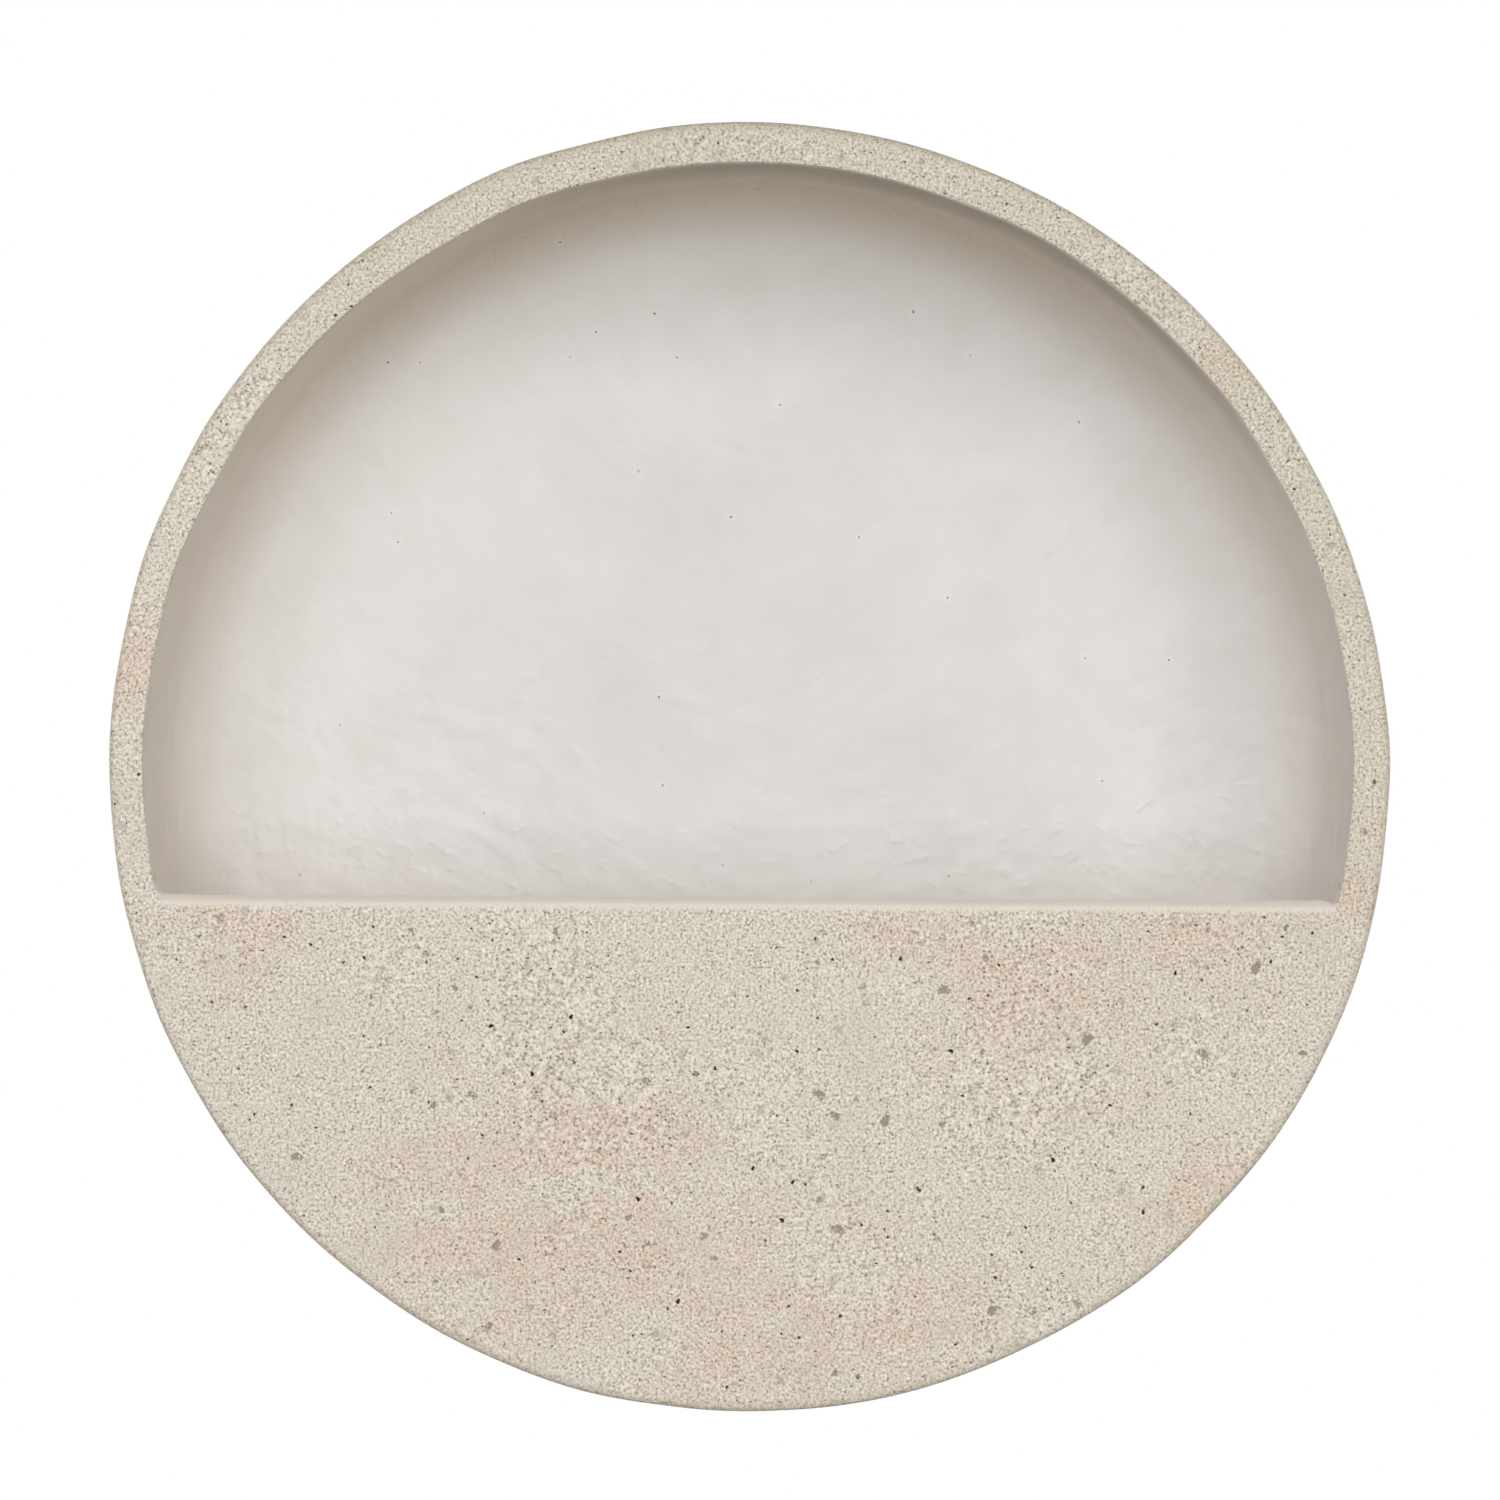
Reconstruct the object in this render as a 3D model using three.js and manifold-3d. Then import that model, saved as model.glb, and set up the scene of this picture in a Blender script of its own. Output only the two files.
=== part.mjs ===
// A round wall planter: a shallow drum of cast sandstone mix with a wide window above and a soil pocket
// below. A white lining covers the hollow, two keyhole plates are let into the back, and a rubber bung
// closes the drain hole.
//
// Millimetres, +Z up. The wall is the plane y = 0, the front faces -Y, and the origin is the centre of the
// back face.

import * as THREE from "three";
import { mergeVertices } from "three/addons/utils/BufferGeometryUtils.js";
import Module from "manifold-3d";

const wasm = await Module();
wasm.setup();

// ---- driving dimensions -------------------------------------------------------------------------------

const OUTER_RADIUS = 150;
const DEPTH = 90;
const RIM_WIDTH = 8.5; // width of the ring that the window leaves in the front face
const BACK_THICKNESS = 12;
const FRONT_THICKNESS = 9; // pocket wall with its lining
const PANEL_TOP_Z = -31.5; // upper edge of the pocket wall
const COVE_RADIUS = 16; // seen inside, between the side wall and the back
const FRONT_COVE_RADIUS = 4; // the same behind the pocket wall

const FRONT_ARRIS = 1.8; // roundings of the outside edges
const BACK_ARRIS = 4;
const MOUTH_ARRIS = 1.5;
const LEFT_CORNER = 5; // roundings where the pocket wall meets the ring, uneven from hand finishing
const RIGHT_CORNER = 2.5;

const LINING_THICKNESS = 1.5;
const SEAT_GAP = 0.3; // between a piece and the one that it is bedded in
const LIP_DEPTH = 2.5; // the front of the ring, which the lining stops behind

const HANGER_X = 60; // the two hangers, either side of the middle
const HANGER_Z = 70;
const PLATE_WIDTH = 20;
const PLATE_HEIGHT = 60;
const PLATE_THICKNESS = 1.8;
const PLATE_CORNER = 5;
const KEYHOLE_RADIUS = 5.5; // lets the head of a 5 mm wall screw through
const SLOT_HALF_WIDTH = 2.75;
const KEYHOLE_DROP = 5; // the round hole's centre, below the plate's middle
const SLOT_TRAVEL = 14; // from there up to where the screw rests
const WELL_DEPTH = 6.4; // room for the screw's head behind the plate
const WELL_MARGIN = 2;

const SCREW_OFFSET = 24; // the plate's two screws, above and below its middle
const SCREW_RADIUS = 1.5;
const SCREW_HEAD_RADIUS = 3.2;
const SCREW_HEAD_HEIGHT = 1.7;
const SCREW_LENGTH = 9.2;
const SCREW_TIP = 1.6;
const RECESS_WIDTH = 0.8; // the cross in the screw's head
const RECESS_SPAN = 3.4;
const RECESS_DEPTH = 1.1;
const ANCHOR_RADIUS = 3.2;
const ANCHOR_LENGTH = 7.5;
const ANCHOR_GROOVE = 0.45;
const ANCHOR_RIBS = 3;
const ANCHOR_LAND = 0.6; // share of a rib's pitch at full radius
const ANCHOR_STEP = 0.1; // share that the step up to the next rib takes

const DRAIN_RADIUS = 6;
const BUNG_RADIUS = 5.6;
const BUNG_TIP_RADIUS = 4.8;
const BUNG_LENGTH = 10.5;
const BUNG_RIBS = 3;
const BUNG_RIB_DEPTH = 0.6;
const BUNG_RIB_PEAK = 0.6; // where a rib is widest, as a share of its pitch
const BUNG_UNDERCUT = 0.3; // from the flange to the foot of the first rib
const BUNG_TIP = 2; // length of the plain end past the ribs
const FLANGE_RADIUS = 10;
const FLANGE_THICKNESS = 2.4;
const SPOT_FACE_DEPTH = 2.9; // of the flat seat sunk into the curved underside

const ROUND_SEGMENTS = 96;
const SMALL_SEGMENTS = 20;
const ARRIS_DIVISIONS = 2; // a path's arc has twice as many steps
const COVE_DIVISIONS = 3;
const CORNER_STEPS = 6;
const CURVE_STEPS = 8; // on each arc of a plate, keyhole or well
const WINDOW_SHARE = 0.6; // of ROUND_SEGMENTS, what the window's round edge takes
const OVERSHOOT = 2; // how far a cutter runs past the face that it opens
const WELD_DISTANCE = 1e-4;

// ---- worked out from them -----------------------------------------------------------------------------

const BED = LINING_THICKNESS + SEAT_GAP; // casting's hollow to the lining's visible face
const MOUTH_RADIUS = OUTER_RADIUS - RIM_WIDTH;
const HOLLOW_RADIUS = MOUTH_RADIUS + BED;
const HOLLOW_FRONT_Y = -(DEPTH - FRONT_THICKNESS + BED);
const LIP_Y = -(DEPTH - LIP_DEPTH);
const LIP_BOTTOM_Z = PANEL_TOP_Z + LEFT_CORNER; // under this the ring is thick, down to the pocket wall
const POCKET_MIDDLE_Y = (-BACK_THICKNESS + HOLLOW_FRONT_Y) / 2;
const PLATE_SEAT_Y = -(PLATE_THICKNESS + SEAT_GAP);
const SPOT_FACE_Z = SPOT_FACE_DEPTH - OUTER_RADIUS;

// ---- materials ----------------------------------------------------------------------------------------

const material = (color, roughness, metalness = 0) =>
  new THREE.MeshStandardMaterial({ color, roughness, metalness });

const castStone = material(0xd1c7b8, 0.95);
const whiteLining = material(0xded9d6, 0.75);
const zincSteel = material(0xb4b6b8, 0.4, 0.9);
const nylon = material(0xc9c6bd, 0.6);
const rubber = material(0x3b3a38, 0.85);

// ---- solids -------------------------------------------------------------------------------------------

// A closed surface as a solid that can be cut and joined.
function solid(geometry) {
  const bare = geometry.index ? geometry.toNonIndexed() : geometry.clone();
  bare.deleteAttribute("normal");
  bare.deleteAttribute("uv");
  const merged = mergeVertices(bare, WELD_DISTANCE);
  return new wasm.Manifold(
    new wasm.Mesh({
      numProp: 3,
      vertProperties: merged.getAttribute("position").array,
      triVerts: new Uint32Array(merged.index.array),
    }),
  );
}

function geometryOf(manifold) {
  const mesh = manifold.getMesh();
  return new THREE.BufferGeometry()
    .setAttribute("position", new THREE.BufferAttribute(new Float32Array(mesh.vertProperties), 3))
    .setIndex(new THREE.BufferAttribute(new Uint32Array(mesh.triVerts), 1));
}

// A body of revolution about Y from (radius, y) points, which start and end on the axis and run from the
// front to the back.
const turned = (points, segments = ROUND_SEGMENTS) => new THREE.LatheGeometry(points, segments);

const cylinderY = (radius, frontY, backY, segments) =>
  turned(
    [
      new THREE.Vector2(0, frontY),
      new THREE.Vector2(radius, frontY),
      new THREE.Vector2(radius, backY),
      new THREE.Vector2(0, backY),
    ],
    segments,
  );

// A block that holds everything above a level.
function above(z) {
  const size = 4 * OUTER_RADIUS;
  return solid(new THREE.BoxGeometry(size, size, size).translate(0, 0, z + size / 2));
}

function arcPoints(centreX, centreZ, radius, from, to, steps) {
  return Array.from({ length: steps + 1 }, (_, i) => {
    const angle = from + ((to - from) * i) / steps;
    return [centreX + radius * Math.cos(angle), centreZ + radius * Math.sin(angle)];
  });
}

// A closed surface through rings of [x, z] points, each ring at its own y, from the front to the back.
function loft(rings) {
  const count = rings[0].points.length;
  const positions = rings.flatMap(({ y, points }) => points.flatMap(([x, z]) => [x, y, z]));
  const index = [];
  for (let ring = 0; ring + 1 < rings.length; ring++) {
    for (let i = 0; i < count; i++) {
      const a = ring * count + i;
      const b = ring * count + ((i + 1) % count);
      index.push(a, a + count, b, b, a + count, b + count);
    }
  }
  const last = (rings.length - 1) * count;
  for (let i = 1; i + 1 < count; i++) {
    index.push(0, i, i + 1, last, last + i + 1, last + i);
  }
  return new THREE.BufferGeometry()
    .setAttribute("position", new THREE.Float32BufferAttribute(positions, 3))
    .setIndex(index);
}

// A flat outline carried along +Z.
function extruded(shape, depth) {
  const settings = { depth, bevelEnabled: false, curveSegments: CURVE_STEPS };
  return solid(new THREE.ExtrudeGeometry(shape, settings));
}

// ---- the casting --------------------------------------------------------------------------------------

function drum() {
  const outline = new THREE.Path();
  outline.moveTo(0, -DEPTH);
  outline.lineTo(OUTER_RADIUS - FRONT_ARRIS, -DEPTH);
  outline.absarc(OUTER_RADIUS - FRONT_ARRIS, FRONT_ARRIS - DEPTH, FRONT_ARRIS, -Math.PI / 2, 0);
  outline.lineTo(OUTER_RADIUS, -BACK_ARRIS);
  outline.absarc(OUTER_RADIUS - BACK_ARRIS, -BACK_ARRIS, BACK_ARRIS, 0, Math.PI / 2);
  outline.lineTo(0, 0);
  return solid(turned(outline.getPoints(ARRIS_DIVISIONS)));
}

// The round hollow, or its offset by an inset towards the middle: coved at the back and, less, at the front.
function hollow(inset) {
  const radius = HOLLOW_RADIUS - inset;
  const backY = -(BACK_THICKNESS + inset);
  const frontY = HOLLOW_FRONT_Y + inset;
  const backCove = COVE_RADIUS + BED - inset;
  const frontCove = FRONT_COVE_RADIUS + BED - inset;
  const outline = new THREE.Path();
  outline.moveTo(0, frontY);
  outline.lineTo(radius - frontCove, frontY);
  outline.absarc(radius - frontCove, frontY + frontCove, frontCove, -Math.PI / 2, 0);
  outline.lineTo(radius, backY - backCove);
  outline.absarc(radius - backCove, backY - backCove, backCove, 0, Math.PI / 2);
  outline.lineTo(0, backY);
  return solid(turned(outline.getPoints(COVE_DIVISIONS)));
}

// The same hollow carried forward, without its front cove, where nothing closes it above the pocket wall.
function openHollow(inset, frontY, lowestZ) {
  const straightY = -(BACK_THICKNESS + COVE_RADIUS + 2 * BED);
  return solid(cylinderY(HOLLOW_RADIUS - inset, frontY, straightY)).intersect(above(lowestZ));
}

// The window's outline: the ring's inner circle and the pocket wall's edge, each moved outwards by a growth.
function windowOutline(ringGrowth, edgeGrowth) {
  const radius = MOUTH_RADIUS + ringGrowth;
  const edgeZ = PANEL_TOP_Z - edgeGrowth;
  const corner = (rounding) => {
    const r = rounding + Math.min(ringGrowth, edgeGrowth);
    const z = edgeZ + r;
    const x = Math.sqrt((radius - r) ** 2 - z ** 2);
    return { r, z, x, angle: Math.atan2(z, x) };
  };
  const right = corner(RIGHT_CORNER);
  const left = corner(LEFT_CORNER);
  const roundSteps = Math.round(ROUND_SEGMENTS * WINDOW_SHARE);
  return [
    ...arcPoints(right.x, right.z, right.r, -Math.PI / 2, right.angle, CORNER_STEPS),
    ...arcPoints(0, 0, radius, right.angle, Math.PI - left.angle, roundSteps).slice(1, -1),
    ...arcPoints(-left.x, left.z, left.r, Math.PI - left.angle, (3 * Math.PI) / 2, CORNER_STEPS),
  ];
}

// Cuts the window through the front face and the cove behind it, and rounds its edges: the front one all
// round, and the back one along the pocket wall.
function windowCutter() {
  const steps = 2 * ARRIS_DIVISIONS;
  const rounding = (i) => MOUTH_ARRIS * (1 - Math.cos((Math.PI / 2) * (i / steps)));
  const along = (i) => MOUTH_ARRIS * Math.sin((Math.PI / 2) * (i / steps));
  const ring = (y, ringGrowth, edgeGrowth) => ({ y, points: windowOutline(ringGrowth, edgeGrowth) });
  const rings = [ring(-DEPTH - OVERSHOOT, MOUTH_ARRIS, MOUTH_ARRIS)];
  for (let i = steps; i >= 0; i--) {
    rings.push(ring(-DEPTH + MOUTH_ARRIS - along(i), rounding(i), rounding(i)));
  }
  for (let i = 0; i <= steps; i++) {
    rings.push(ring(HOLLOW_FRONT_Y - MOUTH_ARRIS + along(i), 0, rounding(i)));
  }
  rings.push(ring(HOLLOW_FRONT_Y + BED + FRONT_COVE_RADIUS + OVERSHOOT, 0, MOUTH_ARRIS));
  return solid(loft(rings));
}

// Where a hanger's plate, the well behind its keyhole and its two anchors are let into the back.
function hangerRecess(x) {
  const seat = extruded(plateOutline(SEAT_GAP), OVERSHOOT - PLATE_SEAT_Y).translate([0, 0, -OVERSHOOT]);
  const wellRadius = KEYHOLE_RADIUS + WELL_MARGIN;
  const well = new THREE.Shape();
  well.absarc(0, SLOT_TRAVEL - KEYHOLE_DROP, wellRadius, 0, Math.PI);
  well.absarc(0, -KEYHOLE_DROP, wellRadius, Math.PI, 2 * Math.PI);
  const room = extruded(well, WELL_DEPTH - PLATE_SEAT_Y);
  let cut = seat.add(room).rotate([90, 0, 0]).translate([x, 0, HANGER_Z]);
  for (const side of [-1, 1]) {
    const bore = solid(
      cylinderY(ANCHOR_RADIUS + SEAT_GAP, PLATE_SEAT_Y - ANCHOR_LENGTH - 2 * SEAT_GAP, 0, SMALL_SEGMENTS),
    );
    cut = cut.add(bore.translate([x, 0, HANGER_Z + side * SCREW_OFFSET]));
  }
  return cut;
}

// A round hole through the underside, and the flat seat for the bung's flange.
function drainCutter() {
  const upright = (radius, bottom, top) =>
    solid(cylinderY(radius, bottom, top, SMALL_SEGMENTS))
      .rotate([90, 0, 0])
      .translate([0, POCKET_MIDDLE_Y, 0]);
  const hole = upright(DRAIN_RADIUS, -OUTER_RADIUS - OVERSHOOT, -MOUTH_RADIUS + 2 * OVERSHOOT);
  return hole.add(upright(FLANGE_RADIUS + SEAT_GAP, -OUTER_RADIUS - OVERSHOOT, SPOT_FACE_Z));
}

function castBody() {
  const lipRecess = openHollow(0, LIP_Y, LIP_BOTTOM_Z);
  const body = drum()
    .subtract(hollow(0))
    .subtract(lipRecess)
    .subtract(windowCutter())
    .subtract(hangerRecess(-HANGER_X))
    .subtract(hangerRecess(HANGER_X))
    .subtract(drainCutter());
  return new THREE.Mesh(geometryOf(body), castStone);
}

// ---- the lining ---------------------------------------------------------------------------------------

// One skin over the whole hollow. It stops behind the ring's lip and just under the pocket wall's edge.
function pocketLining() {
  const outside = hollow(SEAT_GAP).add(
    openHollow(SEAT_GAP, LIP_Y + SEAT_GAP, LIP_BOTTOM_Z + SEAT_GAP),
  );
  const inside = hollow(BED).add(
    openHollow(BED, -DEPTH - OVERSHOOT, PANEL_TOP_Z - MOUTH_ARRIS - SEAT_GAP),
  );
  return new THREE.Mesh(geometryOf(outside.subtract(inside).subtract(drainCutter())), whiteLining);
}

// ---- the hangers --------------------------------------------------------------------------------------

function plateOutline(growth) {
  const halfWidth = PLATE_WIDTH / 2 + growth;
  const halfHeight = PLATE_HEIGHT / 2 + growth;
  const corner = PLATE_CORNER + growth;
  const shape = new THREE.Shape();
  shape.absarc(halfWidth - corner, halfHeight - corner, corner, 0, Math.PI / 2);
  shape.absarc(corner - halfWidth, halfHeight - corner, corner, Math.PI / 2, Math.PI);
  shape.absarc(corner - halfWidth, corner - halfHeight, corner, Math.PI, 1.5 * Math.PI);
  shape.absarc(halfWidth - corner, corner - halfHeight, corner, 1.5 * Math.PI, 2 * Math.PI);
  return shape;
}

// The round hole, and above it the narrower slot that the planter drops on to.
function keyhole() {
  const slotTop = SLOT_TRAVEL - KEYHOLE_DROP;
  const shoulder = Math.asin(SLOT_HALF_WIDTH / KEYHOLE_RADIUS);
  const hole = new THREE.Path();
  hole.absarc(0, slotTop, SLOT_HALF_WIDTH, 0, Math.PI);
  hole.absarc(0, -KEYHOLE_DROP, KEYHOLE_RADIUS, Math.PI / 2 + shoulder, 2.5 * Math.PI - shoulder);
  return hole;
}

function keyholePlate(name, x) {
  const shape = plateOutline(0);
  shape.holes.push(keyhole());
  let plate = extruded(shape, PLATE_THICKNESS);
  const countersink = solid(
    turned(
      [
        new THREE.Vector2(0, -OVERSHOOT),
        new THREE.Vector2(SCREW_HEAD_RADIUS + 2 * SEAT_GAP, -OVERSHOOT),
        new THREE.Vector2(SCREW_HEAD_RADIUS + 2 * SEAT_GAP, 0),
        new THREE.Vector2(SCREW_RADIUS + 2 * SEAT_GAP, SCREW_HEAD_HEIGHT),
        new THREE.Vector2(SCREW_RADIUS + 2 * SEAT_GAP, PLATE_THICKNESS + OVERSHOOT),
        new THREE.Vector2(0, PLATE_THICKNESS + OVERSHOOT),
      ],
      SMALL_SEGMENTS,
    ),
  ).rotate([90, 0, 0]);
  for (const side of [-1, 1]) {
    plate = plate.subtract(countersink.translate([0, side * SCREW_OFFSET, 0]));
  }
  const mesh = new THREE.Mesh(geometryOf(plate), zincSteel);
  mesh.name = name;
  mesh.rotation.x = Math.PI / 2;
  mesh.position.set(x, 0, HANGER_Z);
  return mesh;
}

// A countersunk screw along +Y, its head at the back face.
function plateScrew(name, x, z) {
  const headY = -SEAT_GAP;
  const tipY = headY - SCREW_LENGTH;
  let screw = solid(
    turned(
      [
        new THREE.Vector2(0, tipY),
        new THREE.Vector2(SCREW_RADIUS, tipY + SCREW_TIP),
        new THREE.Vector2(SCREW_RADIUS, headY - SCREW_HEAD_HEIGHT),
        new THREE.Vector2(SCREW_HEAD_RADIUS, headY),
        new THREE.Vector2(0, headY),
      ],
      SMALL_SEGMENTS,
    ),
  );
  for (const [width, height] of [
    [RECESS_SPAN, RECESS_WIDTH],
    [RECESS_WIDTH, RECESS_SPAN],
  ]) {
    const bar = solid(new THREE.BoxGeometry(width, 2 * RECESS_DEPTH, height));
    screw = screw.subtract(bar.translate([0, headY, 0]));
  }
  const mesh = new THREE.Mesh(geometryOf(screw), zincSteel);
  mesh.name = name;
  mesh.position.set(x, 0, z);
  return mesh;
}

// A ribbed sleeve, bonded into the casting, that the plate's screw bites into.
function screwAnchor(name, x, z) {
  const backY = PLATE_SEAT_Y - SEAT_GAP;
  const pitch = ANCHOR_LENGTH / ANCHOR_RIBS;
  const bore = SCREW_RADIUS + SEAT_GAP;
  const profile = [new THREE.Vector2(bore, backY - ANCHOR_LENGTH)];
  for (let rib = ANCHOR_RIBS; rib > 0; rib--) {
    const y = backY - rib * pitch;
    profile.push(new THREE.Vector2(ANCHOR_RADIUS, y));
    profile.push(new THREE.Vector2(ANCHOR_RADIUS, y + ANCHOR_LAND * pitch));
    profile.push(new THREE.Vector2(ANCHOR_RADIUS - ANCHOR_GROOVE, y + (1 - ANCHOR_STEP) * pitch));
  }
  profile.push(new THREE.Vector2(ANCHOR_RADIUS, backY), new THREE.Vector2(bore, backY));
  profile.push(profile[0].clone());
  const mesh = new THREE.Mesh(turned(profile, SMALL_SEGMENTS), nylon);
  mesh.name = name;
  mesh.position.set(x, 0, z);
  return mesh;
}

function hanger(side, x) {
  const group = new THREE.Group();
  group.add(keyholePlate(`keyhole_plate_${side}`, x));
  for (const [level, offset] of [
    ["upper", SCREW_OFFSET],
    ["lower", -SCREW_OFFSET],
  ]) {
    group.add(plateScrew(`plate_screw_${side}_${level}`, x, HANGER_Z + offset));
    group.add(screwAnchor(`screw_anchor_${side}_${level}`, x, HANGER_Z + offset));
  }
  return group;
}

// ---- the drain bung -----------------------------------------------------------------------------------

// Pushed up into the drain hole from below: a round-edged flange and a tapering stem with sealing ribs.
function drainBung() {
  const edge = FLANGE_THICKNESS / 2;
  const top = FLANGE_THICKNESS + BUNG_LENGTH;
  const pitch = (BUNG_LENGTH - BUNG_TIP) / BUNG_RIBS;
  const flange = new THREE.Path();
  flange.moveTo(0, 0);
  flange.lineTo(FLANGE_RADIUS - edge, 0);
  flange.absarc(FLANGE_RADIUS - edge, edge, edge, -Math.PI / 2, Math.PI / 2);
  const points = flange.getPoints(ARRIS_DIVISIONS);
  for (let rib = 0; rib < BUNG_RIBS; rib++) {
    const foot = FLANGE_THICKNESS + rib * pitch;
    points.push(new THREE.Vector2(BUNG_RADIUS - BUNG_RIB_DEPTH, foot + BUNG_UNDERCUT));
    points.push(new THREE.Vector2(BUNG_RADIUS, foot + BUNG_RIB_PEAK * pitch));
  }
  points.push(new THREE.Vector2(BUNG_TIP_RADIUS, top));
  points.push(new THREE.Vector2(0, top));
  const mesh = new THREE.Mesh(turned(points, SMALL_SEGMENTS), rubber);
  mesh.name = "drain_bung";
  mesh.rotation.x = Math.PI / 2;
  mesh.position.set(0, POCKET_MIDDLE_Y, SPOT_FACE_Z - SEAT_GAP - FLANGE_THICKNESS);
  return mesh;
}

// ---- the planter --------------------------------------------------------------------------------------

const planter = new THREE.Group();

const body = castBody();
body.name = "cast_body";
const lining = pocketLining();
lining.name = "pocket_lining";
planter.add(body, lining, hanger("left", -HANGER_X), hanger("right", HANGER_X), drainBung());

export default planter;
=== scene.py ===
"""The looks of the round wall planter: cast sandstone mix outside, a brushed white lining inside.

Lengths here are millimetres in the part's own frame (+Z up, the wall is y = 0, the front faces -Y), and each
mesh is scaled to metres when it is made. The shapes keep to the boxes of the CAD nodes.
"""

import math
from functools import reduce

import bmesh
import bpy
import numpy as np
from mathutils import Euler, Matrix, Vector
from mathutils.geometry import delaunay_2d_cdt
from mathutils.kdtree import KDTree


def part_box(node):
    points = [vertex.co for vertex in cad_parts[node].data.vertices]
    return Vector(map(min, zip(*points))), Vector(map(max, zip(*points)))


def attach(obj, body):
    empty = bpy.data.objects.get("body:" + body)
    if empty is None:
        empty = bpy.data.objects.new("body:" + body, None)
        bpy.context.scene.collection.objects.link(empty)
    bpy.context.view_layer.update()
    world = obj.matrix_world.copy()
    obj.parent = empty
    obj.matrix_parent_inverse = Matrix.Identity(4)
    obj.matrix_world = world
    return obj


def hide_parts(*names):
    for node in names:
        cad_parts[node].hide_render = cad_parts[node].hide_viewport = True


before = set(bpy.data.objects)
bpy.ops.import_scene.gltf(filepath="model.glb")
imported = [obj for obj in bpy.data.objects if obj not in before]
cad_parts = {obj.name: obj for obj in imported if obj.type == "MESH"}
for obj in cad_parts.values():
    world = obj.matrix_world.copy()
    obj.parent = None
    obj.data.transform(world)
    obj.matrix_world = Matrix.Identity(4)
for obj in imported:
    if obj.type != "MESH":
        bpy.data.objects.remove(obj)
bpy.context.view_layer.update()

MM = 0.001

# ---- sizes ----


def box_mm(node):
    low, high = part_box(node)
    return np.array(low) / MM, np.array(high) / MM


cast_low, cast_high = box_mm("cast_body")
lining_low, lining_high = box_mm("pocket_lining")
bung_low, bung_high = box_mm("drain_bung")

OUTER_R = cast_high[0]
FRONT_Y = cast_low[1]
RING_WIDTH = 8.5
MOUTH_R = OUTER_R - RING_WIDTH
PANEL_TOP_Z = -31.5
FRONT_ARRIS = 1.8
BACK_ARRIS = 4.0
MOUTH_ARRIS = 1.4
RING_ARRIS = 0.4
BACK_LIP = 0.5
EDGE_RISE = 1.0  # how far the pocket wall's edge stands up behind its front arris
EDGE_FALL = 0.6  # and drops from there to the hollow
LEFT_CORNER = 5.0
RIGHT_CORNER = 2.5

SEAT_GAP = 0.3
LINING_T = 1.5
BED = LINING_T + SEAT_GAP
LIP_Y = lining_low[1] - SEAT_GAP  # back of the ring's lip, which the visible lining meets
LIP_BOTTOM_Z = PANEL_TOP_Z + LEFT_CORNER
HOLLOW_R = MOUTH_R + BED
POCKET_WALL_T = 9.0
HOLLOW_FRONT_Y = FRONT_Y + POCKET_WALL_T - BED
BACK_T = 12.0
COVE_R = 16.0
DRAIN_R = 6.0
FLANGE_R = bung_high[0]
DRAIN_Y = (bung_low[1] + bung_high[1]) / 2
FLANGE_T = 2.4
SPOT_FACE_Z = bung_low[2] + FLANGE_T + SEAT_GAP

HANGER_X = 60.0
HANGER_Z = 70.0
PLATE_W = 20.0
PLATE_H = 60.0
PLATE_CORNER = 5.0
SEAT_Y = -2.1
WELL_R = 7.5
WELL_Y = -8.5
WELL_LOW_Z = HANGER_Z - 5.0
WELL_HIGH_Z = HANGER_Z + 9.0
BORE_R = 3.5
BORE_Y = -10.2
SCREW_OFFSET = 24.0



def put(name, data):
    """A new object in the scene."""
    thing = bpy.data.objects.new(name, data)
    bpy.context.scene.collection.objects.link(thing)
    return thing


# ---- the camera, which also places the marks that the photograph shows ----

PHOTO_SIDE_PX = 1500
FOCAL_PX = 4962
CENTRE_PX = (748.6, 767.4)  # the middle of the planter's front
CAMERA_AWAY = 1158.0  # from the front's plane
CAMERA_Z = 45.0
CAMERA_ROLL = math.radians(0.33)
SENSOR_MM = 36.0


def make_camera():
    """A level camera above the middle. Its shift brings the middle to where the photograph has it."""
    half = PHOTO_SIDE_PX / 2
    turn = Euler((math.pi / 2, 0, 0)).to_matrix() @ Matrix.Rotation(CAMERA_ROLL, 3, "Z")
    middle = turn.inverted() @ Vector((0, CAMERA_AWAY, -CAMERA_Z))
    shift = np.array([middle[0], middle[1]]) * FOCAL_PX / -middle[2]
    shift += np.array([half - CENTRE_PX[0], CENTRE_PX[1] - half])
    data = bpy.data.cameras.new("camera")
    data.sensor_width = SENSOR_MM
    data.lens = SENSOR_MM * FOCAL_PX / PHOTO_SIDE_PX
    data.shift_x, data.shift_y = shift / PHOTO_SIDE_PX
    camera = put("camera", data)
    place = Vector((0, FRONT_Y - CAMERA_AWAY, CAMERA_Z)) * MM
    camera.matrix_world = Matrix.Translation(place) @ turn.to_4x4()
    bpy.context.scene.camera = camera
    return np.array(turn), np.array(place) / MM, shift


camera_turn, camera_place, camera_shift = make_camera()


def seen_at(pixel, y):
    """Where the ray through a pixel of the photograph crosses the plane at y."""
    half = PHOTO_SIDE_PX / 2
    right, up = np.array([pixel[0] - half, half - pixel[1]]) + camera_shift
    ray = camera_turn @ np.array([right / FOCAL_PX, up / FOCAL_PX, -1.0])
    point = camera_place + ray * (y - camera_place[1]) / ray[1]
    return point[[0, 2]]


# ---- points and triangles in the plane ----


def polar(radius, angle):
    return np.c_[radius * np.cos(angle), radius * np.sin(angle)]


def arc(centre, radius, start, end, steps):
    return centre + polar(radius, np.linspace(start, end, steps + 1))


def circle(radius, count, centre=(0.0, 0.0)):
    return arc(centre, radius, 0, 2 * math.pi, count)[:-1]


def line(start, end, steps):
    return np.linspace(start, end, steps + 1)


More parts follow.
